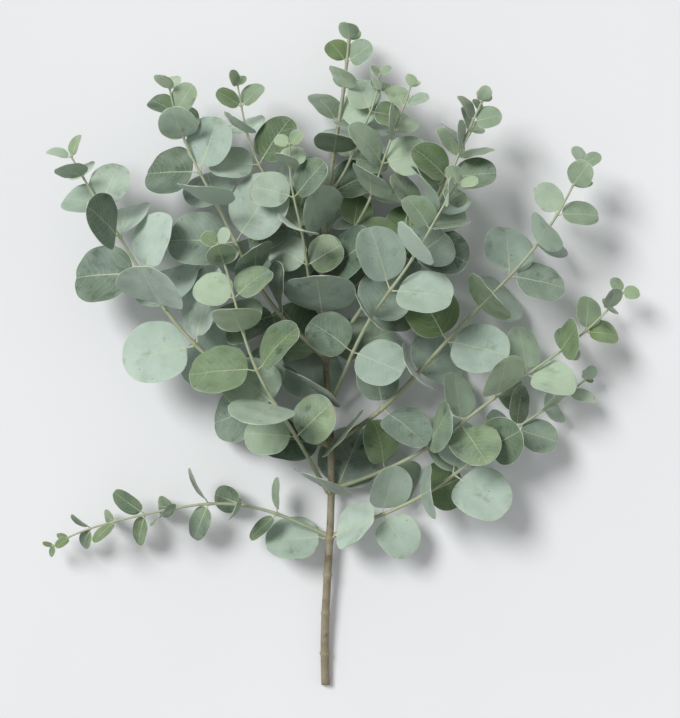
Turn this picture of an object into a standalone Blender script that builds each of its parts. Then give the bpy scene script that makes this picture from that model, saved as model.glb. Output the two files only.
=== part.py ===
"""A cut silver dollar eucalyptus stem, lying on a flat surface with its cut end towards -Y.

The main stem, each side shoot and each full-grown leaf is an object of its own. The young
leaves at the end of a shoot are joined to it, as they still are on a growing tip.
Everything is worked out from the tables of sizes below: where each shoot runs, where its
pairs of leaves sit, and how far a leaf has to swing to lie clear of the surface and of
what already lies there.
"""

import math
from collections import namedtuple

import bmesh
import bpy
import numpy as np
from mathutils import Matrix, Vector
from mathutils.bvhtree import BVHTree

# Lengths are in metres and angles in degrees. +Y runs up the stem, +Z up from the surface.
OBJECT_NAME = "eucalyptus_stem"
SEED = 11
GAP = 0.0003
UP = np.array([0.0, 0.0, 1.0])

# A shoot grows from the axil of one of the main stem's pairs of leaves, on one side of it
# (-1 left, 1 right). Its heading is measured from +Y, at its start and at its tip. Its
# middle line climbs by its rise, and stands above that by its arch halfway along. The
# first pair of leaves is at a distance from its start. A leaf is at most so long, and its
# width is a share of its length.
Shoot = namedtuple(
    "Shoot",
    "name axil side length heading tip_heading rise arch radius tip_radius pairs first leaf broad",
)
MAIN = Shoot("main_stem", 0, 1, 0.56, -3, 5, 0.036, 0.004, 0.0038, 0.0011, 14, 0.130, 0.058, 1.06)
SIDE_SHOOTS = (
    Shoot("drooping_left", 0, -1, 0.245, 64, 122, 0.012, 0.012, 0.0015, 0.0006, 9, 0.045, 0.034, 0.66),
    Shoot("lowest_right", 0, 1, 0.255, 64, 50, 0.012, 0.012, 0.0017, 0.0007, 8, 0.045, 0.046, 1.02),
    Shoot("raised_left", 1, -1, 0.240, 34, 14, 0.070, 0.020, 0.0018, 0.0007, 7, 0.060, 0.050, 1.06),
    Shoot("lower_right", 2, 1, 0.320, 54, 30, 0.034, 0.010, 0.0021, 0.0007, 9, 0.050, 0.051, 1.04),
    Shoot("lower_left", 2, -1, 0.330, 58, 24, 0.040, 0.012, 0.0022, 0.0007, 9, 0.060, 0.060, 1.08),
    Shoot("raised_right", 3, 1, 0.220, 26, 36, 0.072, 0.018, 0.0017, 0.0007, 7, 0.050, 0.048, 1.04),
    Shoot("middle_right", 4, 1, 0.250, 42, 22, 0.040, 0.006, 0.0019, 0.0008, 8, 0.050, 0.046, 1.02),
    Shoot("middle_left", 4, -1, 0.260, 44, 14, 0.036, 0.008, 0.0019, 0.0007, 8, 0.050, 0.054, 1.06),
    Shoot("raised_top", 5, -1, 0.150, 16, 4, 0.058, 0.008, 0.0014, 0.0006, 5, 0.045, 0.040, 1.02),
    Shoot("upper_right", 6, 1, 0.170, 34, 14, 0.026, 0.004, 0.0015, 0.0006, 6, 0.040, 0.042, 1.00),
    Shoot("upper_left", 6, -1, 0.170, 38, 12, 0.026, 0.004, 0.0015, 0.0006, 6, 0.040, 0.044, 1.02),
    Shoot("top_right", 8, 1, 0.105, 34, 12, 0.018, 0.003, 0.0012, 0.0006, 5, 0.030, 0.034, 0.98),
    Shoot("spreading_right", 1, 1, 0.300, 66, 44, 0.020, 0.014, 0.0018, 0.0007, 9, 0.045, 0.044, 1.02),
    Shoot("leaning_right", 5, 1, 0.215, 54, 22, 0.030, 0.008, 0.0016, 0.0006, 7, 0.045, 0.043, 1.02),
)
AXIL_HEIGHT = 0.004
AXIS_STEP = 0.004
SWAY = 5
SWAY_HALF_WAVES = 3
CROWDING = 1.25
TAPER = 0.8
SWELLING = 0.22
SWELLING_LENGTH = 0.0022

# A leaf's thicknesses, its outline, and its size along its shoot: the pairs grow to full
# size over the first share of the shoot, then fade towards its tip. A leaf that is longer
# than FULL_GROWN is a piece of its own, and a young one is joined to its shoot.
BLADE = 0.00055
STALK_LEAST = 0.0008
STALK_PER_LEAF = 0.012
STALK_SHARE = 0.10
FULL_GROWN = 0.0455
ROUNDNESS = 2.15
END_ROW = 0.008
FIRST_SIZE = 0.84
FULL_SIZE_AT = 0.3
TIP_SIZE = 0.30
FADE = 1.15
FOOT_DEPTH = 0.3
FOOT_SHARE = 0.4
YOUNG_FOOT_SHARE = 0.9

# How a leaf grows: each pair's first leaf is a quarter turn on from the pair below, and
# leans out from its shoot less and less towards the tip. These change by chance within
# the ranges below, and so do its roll towards the light, its size and its form.
FIRST_AZIMUTH = 12
AZIMUTH_CHANCE = 16
LEAN_AT_BASE = 68
LEAN_LOST_AT_TIP = 26
LEAN_CHANCE = 10
LIGHT_RANGE = (0.35, 2.2)
LENGTH_RANGE = (0.92, 1.08)
WIDTH_RANGE = (0.94, 1.06)
STALK_RANGE = (0.7, 1.3)
WIDEST_RANGE = (0.82, 1.0)
BEND_RANGE = (4, 24)
CUP_RANGE = (0.02, 0.09)
WAVE_RANGE = (0.010, 0.035)

# How a leaf may swing to lie clear: turned about the shoot, and leant along it
TURNS = (0, 12, -12, 24, -24, 38, -38, 55, -55)
LEANS = (0, 10, -10, 20, -20, 30)
LEAST_ANGLE = 24
SHRINKS = (1, 0.88, 0.75, 0.6)
LEAN_COST = 1.3
STEEPEST = 80
HALVINGS = 24
CLEARANCE = 0.0005
YOUNG_CLEARANCE = 0.00015

# Rows and columns of faces in a full-grown leaf, a young one and one that is SMALL or less
LEAF_GRID = (8, 4)
YOUNG_GRID = (4, 2)
SMALL_GRID = (3, 1)
SMALL = 0.022

# The step between points along a stem, the room that they leave round a pair of leaves, and
# how close two corners of a mesh are made one
STEM_POINTS = 0.018
KNOT_ROOM = 0.0044
MERGED = 0.000001

# Each material's colour and its roughness
BARK = ((0.36, 0.33, 0.22), 0.7)
GREEN_TWIG = ((0.47, 0.52, 0.36), 0.6)
LEAF_GREEN = ((0.42, 0.52, 0.44), 0.55)

Leaf = namedtuple(
    "Leaf",
    "name shoot young node way foot along face length width stalk widest bend cup wave phase",
)


def unit(v):
    return v / np.linalg.norm(v)


def turned(v, axis, degrees):
    """v turned about a unit axis."""
    angle = math.radians(degrees)
    level = np.dot(axis, v) * (1 - math.cos(angle))
    return v * math.cos(angle) + np.cross(axis, v) * math.sin(angle) + axis * level


def pair_places(shoot):
    """The distance along a shoot of each pair of leaves: closer together towards the tip."""
    share = np.linspace(0, 1, shoot.pairs)
    return shoot.first + (shoot.length - shoot.first) * (1 - (1 - share) ** CROWDING)


def axis_of(shoot, start):
    """Points along a shoot's middle line, and the directions there. Its heading turns evenly
    from start to tip with a slight sway, and its height is a rise plus an arch."""
    count = round(shoot.length / AXIS_STEP)
    share = np.linspace(0, 1, count + 1)
    heading = shoot.side * (shoot.heading + (shoot.tip_heading - shoot.heading) * share)
    heading = np.radians(heading + SWAY * np.sin(share * SWAY_HALF_WAVES * math.pi + shoot.axil))
    slope = (shoot.rise + shoot.arch * math.pi * np.cos(math.pi * share)) / shoot.length
    level = np.sqrt(1 - slope**2)
    ways = np.stack([np.sin(heading) * level, np.cos(heading) * level, slope], axis=1)
    steps = np.cumsum((ways[1:] + ways[:-1]) / 2 * shoot.length / count, axis=0)
    return start + np.vstack([np.zeros(3), steps]), ways


def at(shoot, axis, distance):
    """The point on a shoot's middle line and its direction, at a distance from its start."""
    points, ways = axis
    place = min(distance / shoot.length, 1) * (len(points) - 1)
    low = min(int(place), len(points) - 2)
    share = place - low
    point = points[low] * (1 - share) + points[low + 1] * share
    return point, unit(ways[low] * (1 - share) + ways[low + 1] * share)


def radius_at(shoot, distance):
    """A shoot's radius, which tapers to its tip and swells a little at each pair of leaves."""
    share = np.clip(distance / shoot.length, 0, 1)
    plain = shoot.tip_radius + (shoot.radius - shoot.tip_radius) * (1 - share) ** TAPER
    swell = sum(np.exp(-(((distance - s) / SWELLING_LENGTH) ** 2)) for s in pair_places(shoot))
    return plain * (1 + SWELLING * swell)


def stalk_thickness(leaf):
    return STALK_LEAST + STALK_PER_LEAF * leaf.length


def leaf_sheet(leaf, rows, columns, lift=0.0, foot_at=0.0):
    """A grid of points on a leaf, (rows + 1) by (columns + 1), lift above its middle surface,
    with the leaf's foot at the origin, its length along +X and its face up +Z. The first
    row is the stalk's end, or foot_at along the stalk. The rest are the blade: its half
    width is a rounded curve of the share t of its length, its edges rise to a shallow dish
    with a wave round the rim, and it bends evenly along its middle."""
    t = (1 - np.cos(np.linspace(0, math.pi, rows))) / 2
    t = (END_ROW + (1 - 2 * END_ROW) * t)[:, None]
    v = np.linspace(-1, 1, columns + 1)
    half = leaf.width / 2 * (1 - np.abs(2 * t**leaf.widest - 1) ** ROUNDNESS) ** (1 / ROUNDNESS)
    y = half * v
    across = 2 * y / leaf.width
    out = 2 * t - 1
    wave = leaf.wave * np.hypot(out, across) ** 3 * np.sin(2 * np.arctan2(across, out) + leaf.phase)
    height = leaf.width * (leaf.cup * across**2 + wave) + lift
    bent = leaf.bend * t
    x = leaf.stalk + leaf.length * np.sin(bent) / leaf.bend + height * np.sin(bent)
    z = height * np.cos(bent) - leaf.length * (1 - np.cos(bent)) / leaf.bend
    blade = np.stack([x, y, z], axis=2)
    reach = np.full_like(v, foot_at)
    foot = np.stack([reach, v * stalk_thickness(leaf) / 2, np.full_like(v, lift)], axis=1)
    return np.concatenate([foot[None], blade])


def leaf_frame(leaf):
    """The rows of a leaf's along, across and face directions, and the point of its foot."""
    out = unit(leaf.along - np.dot(leaf.along, leaf.way) * leaf.way)
    side = np.cross(leaf.face, leaf.along)
    return np.stack([leaf.along, side, leaf.face]), leaf.node + out * leaf.foot


def placed(leaf, points):
    turn, foot = leaf_frame(leaf)
    return points @ turn + foot


def sheet_faces(rows, columns, first=0):
    """The quads of a grid of points, row by row."""
    i, j = np.meshgrid(np.arange(rows), np.arange(columns), indexing="ij")
    a = first + (i * (columns + 1) + j).ravel()
    return np.stack([a, a + 1, a + columns + 2, a + columns + 1], axis=1)


def swollen(leaf, foot_at=0.0):
    """Points and quads round a leaf, a little outside both its faces, from foot_at along its
    stalk."""
    rows, columns = LEAF_GRID
    lift = BLADE / 2 + (YOUNG_CLEARANCE if leaf.young else CLEARANCE)
    sheets = [leaf_sheet(leaf, rows, columns, way * lift, foot_at) for way in (1, -1)]
    skins = [placed(leaf, sheet) for sheet in sheets]
    size = (rows + 1) * (columns + 1)
    rim = [r * (columns + 1) for r in range(rows + 1)]
    rim += [rows * (columns + 1) + c for c in range(1, columns + 1)]
    rim += [r * (columns + 1) + columns for r in reversed(range(rows))]
    rim += list(reversed(range(columns)))
    walls = [(a, b, b + size, a + size) for a, b in zip(rim, rim[1:])]
    quads = [sheet_faces(rows, columns, first) for first in (0, size)]
    return np.vstack([skin.reshape(-1, 3) for skin in skins]), np.vstack([*quads, walls])


def tube(points, radii, sides=8):
    """Points and quads of an open tube along a line of points, with the round tube of the
    given radii inside its flats."""
    ways = np.gradient(points, axis=0)
    ways /= np.linalg.norm(ways, axis=1)[:, None]
    level = np.cross(ways, UP)
    level /= np.linalg.norm(level, axis=1)[:, None]
    upright = np.cross(level, ways)
    turn = np.arange(sides + 1) * 2 * math.pi / sides
    ring = np.cos(turn)[:, None, None] * level + np.sin(turn)[:, None, None] * upright
    skin = np.swapaxes(points + ring * radii[:, None] / math.cos(math.pi / sides), 0, 1)
    return skin.reshape(-1, 3), sheet_faces(len(points) - 1, sides)


class Pile:
    """What already lies on the surface, as trees of faces with their boxes."""

    def __init__(self):
        self.things = []

    def add(self, name, points, faces):
        tree = BVHTree.FromPolygons(points.tolist(), faces.tolist())
        self.things.append((name, points.min(axis=0), points.max(axis=0), tree))

    def is_clear_of(self, points, faces, wanted):
        """Whether a thing meets none of those in the pile whose names are wanted."""
        low, high = points.min(axis=0), points.max(axis=0)
        tree = None
        for name, other_low, other_high, other in self.things:
            if (low > other_high).any() or (high < other_low).any() or not wanted(name):
                continue
            tree = tree or BVHTree.FromPolygons(points.tolist(), faces.tolist())
            if tree.overlap(other):
                return False
        return True


def lies_clear(leaf, pile):
    """Whether a leaf meets nothing in the pile. Its foot may be near its shoot and its twin,
    and a young leaf may touch its shoot."""
    kin = {leaf.shoot, leaf.name[:-1] + "a"}
    if not pile.is_clear_of(*swollen(leaf), lambda name: name not in kin):
        return False
    if leaf.young:
        kin.remove(leaf.shoot)
    start = leaf.stalk * (YOUNG_FOOT_SHARE if leaf.young else FOOT_SHARE)
    return pile.is_clear_of(*swollen(leaf, start), lambda name: name in kin)


def raised(leaf):
    """The leaf, tipped up about its foot until both its faces are clear of the surface, or
    None where no tilt clears it."""
    rows, columns = LEAF_GRID
    sheets = [leaf_sheet(leaf, rows, columns, way * BLADE / 2) for way in (1, -1)]
    points = np.concatenate(sheets).reshape(-1, 3)
    level = np.cross(leaf.along, UP)
    level /= max(np.linalg.norm(level), 1e-9)

    def tipped(angle):
        return leaf._replace(
            along=turned(leaf.along, level, angle), face=turned(leaf.face, level, angle)
        )

    def is_above(tried):
        turn, foot = leaf_frame(tried)
        return (points @ turn[:, 2]).min() + foot[2] >= 0

    if is_above(leaf):
        return leaf
    low, high = 0.0, STEEPEST
    if not is_above(tipped(high)):
        return None
    for _ in range(HALVINGS):
        middle = (low + high) / 2
        low, high = (low, middle) if is_above(tipped(middle)) else (middle, high)
    return tipped(high)


def swings():
    """Every turn and lean, the smallest first."""
    both = [(turn, lean) for turn in TURNS for lean in LEANS]
    return sorted(both, key=lambda swing: abs(swing[0]) + LEAN_COST * abs(swing[1]))


def settled(leaf, pile):
    """The leaf with the least swing that lies clear of the surface and of the pile, or None."""
    for turn, lean in swings():
        along = turned(leaf.along, leaf.way, turn)
        face = turned(leaf.face, leaf.way, turn)
        hinge = unit(np.cross(along, leaf.way))
        tried = leaf._replace(along=turned(along, hinge, lean), face=turned(face, hinge, lean))
        tried = raised(tried)
        if tried is None or np.dot(tried.along, leaf.way) > math.cos(math.radians(LEAST_ANGLE)):
            continue
        if lies_clear(tried, pile):
            return tried
    return None


def leaf_size(shoot, pair):
    """How long a pair's leaves are, before chance."""
    share = pair / (shoot.pairs - 1)
    grown = FIRST_SIZE + (1 - FIRST_SIZE) * math.sin(math.pi / 2 * min(share / FULL_SIZE_AT, 1))
    past = max(share - FULL_SIZE_AT, 0) / (1 - FULL_SIZE_AT)
    return shoot.leaf * grown * (1 - (1 - TIP_SIZE) * past**FADE)


def wanted_leaf(shoot, axis, pair, half, chance):
    """A leaf as it grows before it meets anything: opposite its twin, a quarter turn on from
    the pair below, leaning towards the tip, and rolled to show more of its face."""
    share = pair / (shoot.pairs - 1)
    distance = pair_places(shoot)[pair]
    node, way = at(shoot, axis, distance)
    level = unit(np.cross(way, UP))
    upright = np.cross(level, way)
    azimuth = FIRST_AZIMUTH + 90 * (pair + half * 2)
    azimuth = math.radians(azimuth + chance.uniform(-AZIMUTH_CHANCE, AZIMUTH_CHANCE))
    out = level * math.cos(azimuth) + upright * math.sin(azimuth)
    lean = LEAN_AT_BASE - LEAN_LOST_AT_TIP * share
    lean = math.radians(lean + chance.uniform(-LEAN_CHANCE, LEAN_CHANCE))
    along = way * math.cos(lean) + out * math.sin(lean)
    face = way * math.sin(lean) - out * math.cos(lean)
    face = unit(face + chance.uniform(*LIGHT_RANGE) * (UP - np.dot(UP, along) * along))
    length = leaf_size(shoot, pair) * chance.uniform(*LENGTH_RANGE)
    young = length < FULL_GROWN
    radius = radius_at(shoot, distance)
    thickness = STALK_LEAST + STALK_PER_LEAF * length
    foot = FOOT_DEPTH * radius if young else radius + GAP + thickness / 2
    hidden = radius - foot if young else 0
    return Leaf(
        name=f"{shoot.name}_leaf_{pair + 1}{'ab'[half]}",
        shoot=shoot.name,
        young=young,
        node=node,
        way=way,
        foot=foot,
        along=along,
        face=face,
        length=length,
        width=length * shoot.broad * chance.uniform(*WIDTH_RANGE),
        stalk=length * STALK_SHARE * chance.uniform(*STALK_RANGE) + hidden,
        widest=chance.uniform(*WIDEST_RANGE),
        bend=math.radians(chance.uniform(*BEND_RANGE)),
        cup=chance.uniform(*CUP_RANGE),
        wave=chance.uniform(*WAVE_RANGE),
        phase=chance.uniform(0, 2 * math.pi),
    )


def grow_shoots():
    """Every shoot with its middle line."""
    main_axis = axis_of(MAIN, np.array([0.0, 0.0, MAIN.radius]))
    axes = {MAIN: main_axis}
    for shoot in SIDE_SHOOTS:
        distance = pair_places(MAIN)[shoot.axil] + AXIL_HEIGHT
        point, way = at(MAIN, main_axis, distance)
        out = unit(np.cross(way, UP)) * shoot.side
        foot = radius_at(MAIN, distance) + shoot.radius + GAP
        axes[shoot] = axis_of(shoot, point + out * foot)
    return axes


def grow_leaves(axes):
    """Every leaf where it settles, the main stem's first. One with no room isn't there."""
    chance = np.random.default_rng(SEED)
    pile = Pile()
    for shoot, (points, _) in axes.items():
        reach = np.linspace(0, shoot.length, len(points))
        pile.add(shoot.name, *tube(points, radius_at(shoot, reach) + YOUNG_CLEARANCE))
    leaves = []
    for shoot, axis in axes.items():
        for pair in range(shoot.pairs):
            for half in (0, 1):
                wanted = wanted_leaf(shoot, axis, pair, half, chance)
                for size in SHRINKS:
                    smaller = wanted._replace(length=wanted.length * size, width=wanted.width * size)
                    found = settled(smaller, pile)
                    if found:
                        break
                if found:
                    leaves.append(found)
                    pile.add(found.name, *swollen(found))
    return leaves


def wipe_scene():
    for thing in list(bpy.data.objects):
        bpy.data.objects.remove(thing)


def new_collection(name):
    collection = bpy.data.collections.new(name)
    bpy.context.scene.collection.children.link(collection)
    return collection


def plain_material(name, look):
    colour, roughness = look
    material = bpy.data.materials.new(name)
    material.use_nodes = True
    shader = material.node_tree.nodes["Principled BSDF"]
    shader.inputs["Base Color"].default_value = (*colour, 1)
    shader.inputs["Roughness"].default_value = roughness
    shader.inputs["Metallic"].default_value = 0
    return material


def add_object(name, data, material, collection, parent):
    thing = bpy.data.objects.new(name, data)
    data.materials.append(material)
    collection.objects.link(thing)
    thing.parent = parent
    return thing


def leaf_object(leaf, grid, material, collection, parent):
    """A leaf: a grid laid along its middle surface, given its thickness by a Solidify."""
    rows, columns = grid
    sheet = leaf_sheet(leaf, rows, columns)
    bm = bmesh.new()
    bmesh.ops.create_grid(bm, x_segments=rows, y_segments=columns, size=1)
    foot = []
    for vert in bm.verts:
        row = round((vert.co.x + 1) / 2 * rows)
        column = round((vert.co.y + 1) / 2 * columns)
        vert.co = sheet[row, column]
        if row == 0:
            foot.append(vert.index)
    mesh = bpy.data.meshes.new(leaf.name)
    bm.to_mesh(mesh)
    bm.free()
    mesh.shade_smooth()
    thing = add_object(leaf.name, mesh, material, collection, parent)
    turn, place = leaf_frame(leaf)
    thing.matrix_world = Matrix.LocRotScale(Vector(place), Matrix(turn.T.tolist()), None)
    thing.vertex_groups.new(name="stalk").add(foot, 1, "REPLACE")
    solid = thing.modifiers.new("thickness", "SOLIDIFY")
    solid.thickness = stalk_thickness(leaf)
    solid.offset = 0
    solid.vertex_group = "stalk"
    solid.thickness_vertex_group = BLADE / stalk_thickness(leaf)
    return thing


def knots(shoot):
    """Distances along a stem: even ones, and one at each pair of leaves, where it swells."""
    pairs = pair_places(shoot)
    even = np.linspace(0, shoot.length, round(shoot.length / STEM_POINTS) + 1)
    clear = np.abs(even[:, None] - pairs).min(axis=1) > KNOT_ROOM
    return np.unique(np.concatenate([[0], even[clear], pairs]))


def twig_object(shoot, axis, material, collection, parent):
    """A shoot's stem: a round curve along its middle line, made a closed mesh."""
    curve = bpy.data.curves.new(shoot.name, "CURVE")
    curve.dimensions = "3D"
    curve.bevel_depth = 1
    curve.bevel_resolution = 2 if shoot is MAIN else 1
    curve.use_fill_caps = True
    line = curve.splines.new("POLY")
    places = knots(shoot)
    line.points.add(len(places) - 1)
    for point, place in zip(line.points, places):
        point.co = (*at(shoot, axis, place)[0], 1)
        point.radius = radius_at(shoot, place)
    guide = add_object(shoot.name + "_line", curve, material, collection, parent)
    graph = bpy.context.evaluated_depsgraph_get()
    mesh = bpy.data.meshes.new_from_object(guide.evaluated_get(graph))
    bm = bmesh.new()
    bm.from_mesh(mesh)
    bmesh.ops.remove_doubles(bm, verts=bm.verts, dist=MERGED)
    bm.to_mesh(mesh)
    bm.free()
    mesh.shade_smooth()
    thing = bpy.data.objects.new(shoot.name, mesh)
    collection.objects.link(thing)
    thing.parent = parent
    thing.matrix_world = guide.matrix_world
    bpy.data.objects.remove(guide)
    return thing


def join(thing, piece):
    """Joins a young leaf to its shoot."""
    piece.hide_render = True
    piece.display_type = "WIRE"
    union = thing.modifiers.new(piece.name, "BOOLEAN")
    union.operation = "UNION"
    union.object = piece


def centre_on_box(things, centre):
    """Moves the parent so that the origin is the middle of the bottom of the object's box."""
    graph = bpy.context.evaluated_depsgraph_get()
    corners = []
    for thing in things:
        mesh = thing.evaluated_get(graph).to_mesh()
        points = np.empty(len(mesh.vertices) * 3)
        mesh.vertices.foreach_get("co", points)
        world = np.array(thing.matrix_world)
        points = points.reshape(-1, 3) @ world[:3, :3].T + world[:3, 3]
        corners += [points.min(axis=0), points.max(axis=0)]
    low, high = np.min(corners, axis=0), np.max(corners, axis=0)
    centre.location = (-(low[0] + high[0]) / 2, -(low[1] + high[1]) / 2, -low[2])


def main():
    wipe_scene()
    parts = new_collection(OBJECT_NAME)
    young = new_collection("young_leaves")
    bark = plain_material("bark", BARK)
    twig = plain_material("green_twig", GREEN_TWIG)
    skin = plain_material("waxy_leaf", LEAF_GREEN)
    axes = grow_shoots()
    leaves = grow_leaves(axes)
    centre = bpy.data.objects.new(OBJECT_NAME, None)
    parts.objects.link(centre)
    twigs = {}
    for shoot, axis in axes.items():
        material = bark if shoot is MAIN else twig
        twigs[shoot.name] = twig_object(shoot, axis, material, parts, centre)
    for leaf in leaves:
        if leaf.young:
            grid = SMALL_GRID if leaf.length < SMALL else YOUNG_GRID
            piece = leaf_object(leaf, grid, skin, young, centre)
            join(twigs[leaf.shoot], piece)
        else:
            leaf_object(leaf, LEAF_GRID, skin, parts, centre)
    centre_on_box([thing for thing in parts.objects if thing.type == "MESH"], centre)


main()
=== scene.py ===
"""The looks of a cut silver dollar eucalyptus stem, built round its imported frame.

Each full-grown leaf, each shoot's stem and each shoot's young leaves is a fine surface that
stands for the frame's solid. The plan of the plant is worked out as it was for the solids,
from the same sizes and the same draws of chance, and is laid on the frame by its leaves.
"""

import functools
import itertools
import math
from collections import namedtuple

import bmesh
import bpy
import numpy as np
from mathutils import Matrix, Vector
from mathutils.bvhtree import BVHTree


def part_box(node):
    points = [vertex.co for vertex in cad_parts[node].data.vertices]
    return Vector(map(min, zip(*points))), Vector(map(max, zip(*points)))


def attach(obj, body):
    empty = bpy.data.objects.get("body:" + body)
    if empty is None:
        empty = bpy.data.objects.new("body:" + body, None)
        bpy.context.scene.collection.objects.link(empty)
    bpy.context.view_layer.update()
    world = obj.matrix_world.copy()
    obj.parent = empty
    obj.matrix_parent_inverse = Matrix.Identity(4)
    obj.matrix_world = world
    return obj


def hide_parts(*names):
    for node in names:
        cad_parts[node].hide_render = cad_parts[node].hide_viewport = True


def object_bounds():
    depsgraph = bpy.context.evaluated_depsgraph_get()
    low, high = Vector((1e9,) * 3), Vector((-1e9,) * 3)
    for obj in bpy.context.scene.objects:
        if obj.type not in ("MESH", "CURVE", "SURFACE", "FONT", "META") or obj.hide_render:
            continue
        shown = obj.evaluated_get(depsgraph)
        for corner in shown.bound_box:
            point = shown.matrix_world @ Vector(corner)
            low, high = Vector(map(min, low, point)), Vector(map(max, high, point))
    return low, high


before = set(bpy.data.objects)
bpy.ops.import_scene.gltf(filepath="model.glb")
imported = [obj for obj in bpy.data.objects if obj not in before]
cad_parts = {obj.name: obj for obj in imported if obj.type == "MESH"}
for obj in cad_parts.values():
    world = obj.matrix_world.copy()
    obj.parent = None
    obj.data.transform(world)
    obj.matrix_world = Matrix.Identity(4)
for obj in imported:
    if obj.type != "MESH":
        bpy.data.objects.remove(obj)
CAD_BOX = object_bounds()

bl_info = {
    "name": "Eucalyptus Stem Looks",
    "version": (1, 0, 0),
    "blender": (4, 5, 0),
    "location": "3D View > Sidebar > Eucalyptus",
    "description": "Builds the leaves, the shoots and the stage of a cut eucalyptus stem",
    "category": "Object",
}

# Lengths are in metres and angles in degrees. +Y runs up the stem, +Z up from the surface.
SEED = 11
GAP = 0.0003
UP = np.array([0.0, 0.0, 1.0])

# The plan's shoots, as in the frame. A heading is measured from +Y at the shoot's start and
# at its tip, and a leaf's width is a share of its length.
Shoot = namedtuple(
    "Shoot",
    "name axil side length heading tip_heading rise arch radius tip_radius pairs first leaf broad",
)
MAIN = Shoot("main_stem", 0, 1, 0.56, -3, 5, 0.036, 0.004, 0.0038, 0.0011, 14, 0.130, 0.058, 1.06)
SIDE_SHOOTS = (
    Shoot("drooping_left", 0, -1, 0.245, 64, 122, 0.012, 0.012, 0.0015, 0.0006, 9, 0.045, 0.034, 0.66),
    Shoot("lowest_right", 0, 1, 0.255, 64, 50, 0.012, 0.012, 0.0017, 0.0007, 8, 0.045, 0.046, 1.02),
    Shoot("raised_left", 1, -1, 0.240, 34, 14, 0.070, 0.020, 0.0018, 0.0007, 7, 0.060, 0.050, 1.06),
    Shoot("lower_right", 2, 1, 0.320, 54, 30, 0.034, 0.010, 0.0021, 0.0007, 9, 0.050, 0.051, 1.04),
    Shoot("lower_left", 2, -1, 0.330, 58, 24, 0.040, 0.012, 0.0022, 0.0007, 9, 0.060, 0.060, 1.08),
    Shoot("raised_right", 3, 1, 0.220, 26, 36, 0.072, 0.018, 0.0017, 0.0007, 7, 0.050, 0.048, 1.04),
    Shoot("middle_right", 4, 1, 0.250, 42, 22, 0.040, 0.006, 0.0019, 0.0008, 8, 0.050, 0.046, 1.02),
    Shoot("middle_left", 4, -1, 0.260, 44, 14, 0.036, 0.008, 0.0019, 0.0007, 8, 0.050, 0.054, 1.06),
    Shoot("raised_top", 5, -1, 0.150, 16, 4, 0.058, 0.008, 0.0014, 0.0006, 5, 0.045, 0.040, 1.02),
    Shoot("upper_right", 6, 1, 0.170, 34, 14, 0.026, 0.004, 0.0015, 0.0006, 6, 0.040, 0.042, 1.00),
    Shoot("upper_left", 6, -1, 0.170, 38, 12, 0.026, 0.004, 0.0015, 0.0006, 6, 0.040, 0.044, 1.02),
    Shoot("top_right", 8, 1, 0.105, 34, 12, 0.018, 0.003, 0.0012, 0.0006, 5, 0.030, 0.034, 0.98),
    Shoot("spreading_right", 1, 1, 0.300, 66, 44, 0.020, 0.014, 0.0018, 0.0007, 9, 0.045, 0.044, 1.02),
    Shoot("leaning_right", 5, 1, 0.215, 54, 22, 0.030, 0.008, 0.0016, 0.0006, 7, 0.045, 0.043, 1.02),
)
AXIL_HEIGHT = 0.004
AXIS_STEP = 0.004
SWAY = 5
SWAY_HALF_WAVES = 3
CROWDING = 1.25
TAPER = 0.8
SWELLING = 0.22
SWELLING_LENGTH = 0.0022

# The plan's leaves, as in the frame
BLADE = 0.00055
STALK_LEAST = 0.0008
STALK_PER_LEAF = 0.012
STALK_SHARE = 0.10
FULL_GROWN = 0.0455
ROUNDNESS = 2.15
END_ROW = 0.008
FIRST_SIZE = 0.84
FULL_SIZE_AT = 0.3
TIP_SIZE = 0.30
FADE = 1.15
FOOT_DEPTH = 0.3
FOOT_SHARE = 0.4
YOUNG_FOOT_SHARE = 0.9
FIRST_AZIMUTH = 12
AZIMUTH_CHANCE = 16
LEAN_AT_BASE = 68
LEAN_LOST_AT_TIP = 26
LEAN_CHANCE = 10
LIGHT_RANGE = (0.35, 2.2)
LENGTH_RANGE = (0.92, 1.08)
WIDTH_RANGE = (0.94, 1.06)
STALK_RANGE = (0.7, 1.3)
WIDEST_RANGE = (0.82, 1.0)
BEND_RANGE = (4, 24)
CUP_RANGE = (0.02, 0.09)
WAVE_RANGE = (0.010, 0.035)
TURNS = (0, 12, -12, 24, -24, 38, -38, 55, -55)
LEANS = (0, 10, -10, 20, -20, 30)
LEAST_ANGLE = 24
SHRINKS = (1, 0.88, 0.75, 0.6)
LEAN_COST = 1.3
STEEPEST = 80
HALVINGS = 24
CLEARANCE = 0.0005
YOUNG_CLEARANCE = 0.00015
LEAF_GRID = (8, 4)

# The fine leaves: rows along the blade, rows along the stalk and columns across
GROWN_ROWS = (34, 7, 16)
YOUNG_ROWS = (20, 4, 10)
SMALL_ROWS = (13, 3, 8)
SMALL = 0.022
RIM_COLUMNS = (0.955, 0.988)
CENTRED = 0.2
STALK_FLARE_LENGTH = 3
RIB_END = 0.12
RIB_TAPER = 0.75
UPPER_RIB = 0.2
BLADE_START = (-0.02, 0.03)
RIM_BLUNTNESS = 14
BUMP_WAVES = ((9.1, 4.3, 1), (-5.2, 6.7, 2))
NOTCHES = (-0.006, 0.0, 0.008, 0.018)
NOTCH_WIDTH = 0.17
NOTCH_START = 0.85
MOST_MISFIT = 0.0015
EASES = (0, 1.5, -1.5, 3, -3, 5, -5)
EASE_SINK = 0.0002

# The bloom, and the shoots whose leaves carry only a share of it, or look only a share of
# their age
BLOOM_CLOUDS = 0.55
BLOOM_FLECKS = 0.14
WORN_RANGE = (0.54, 0.76)
BLOOM_SHARES = {"drooping_left": 0.35}
AGE_SHARES = {"raised_left": 0.4, "leaning_right": 0.35, "spreading_right": 0.25, "upper_right": 0.5}

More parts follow.
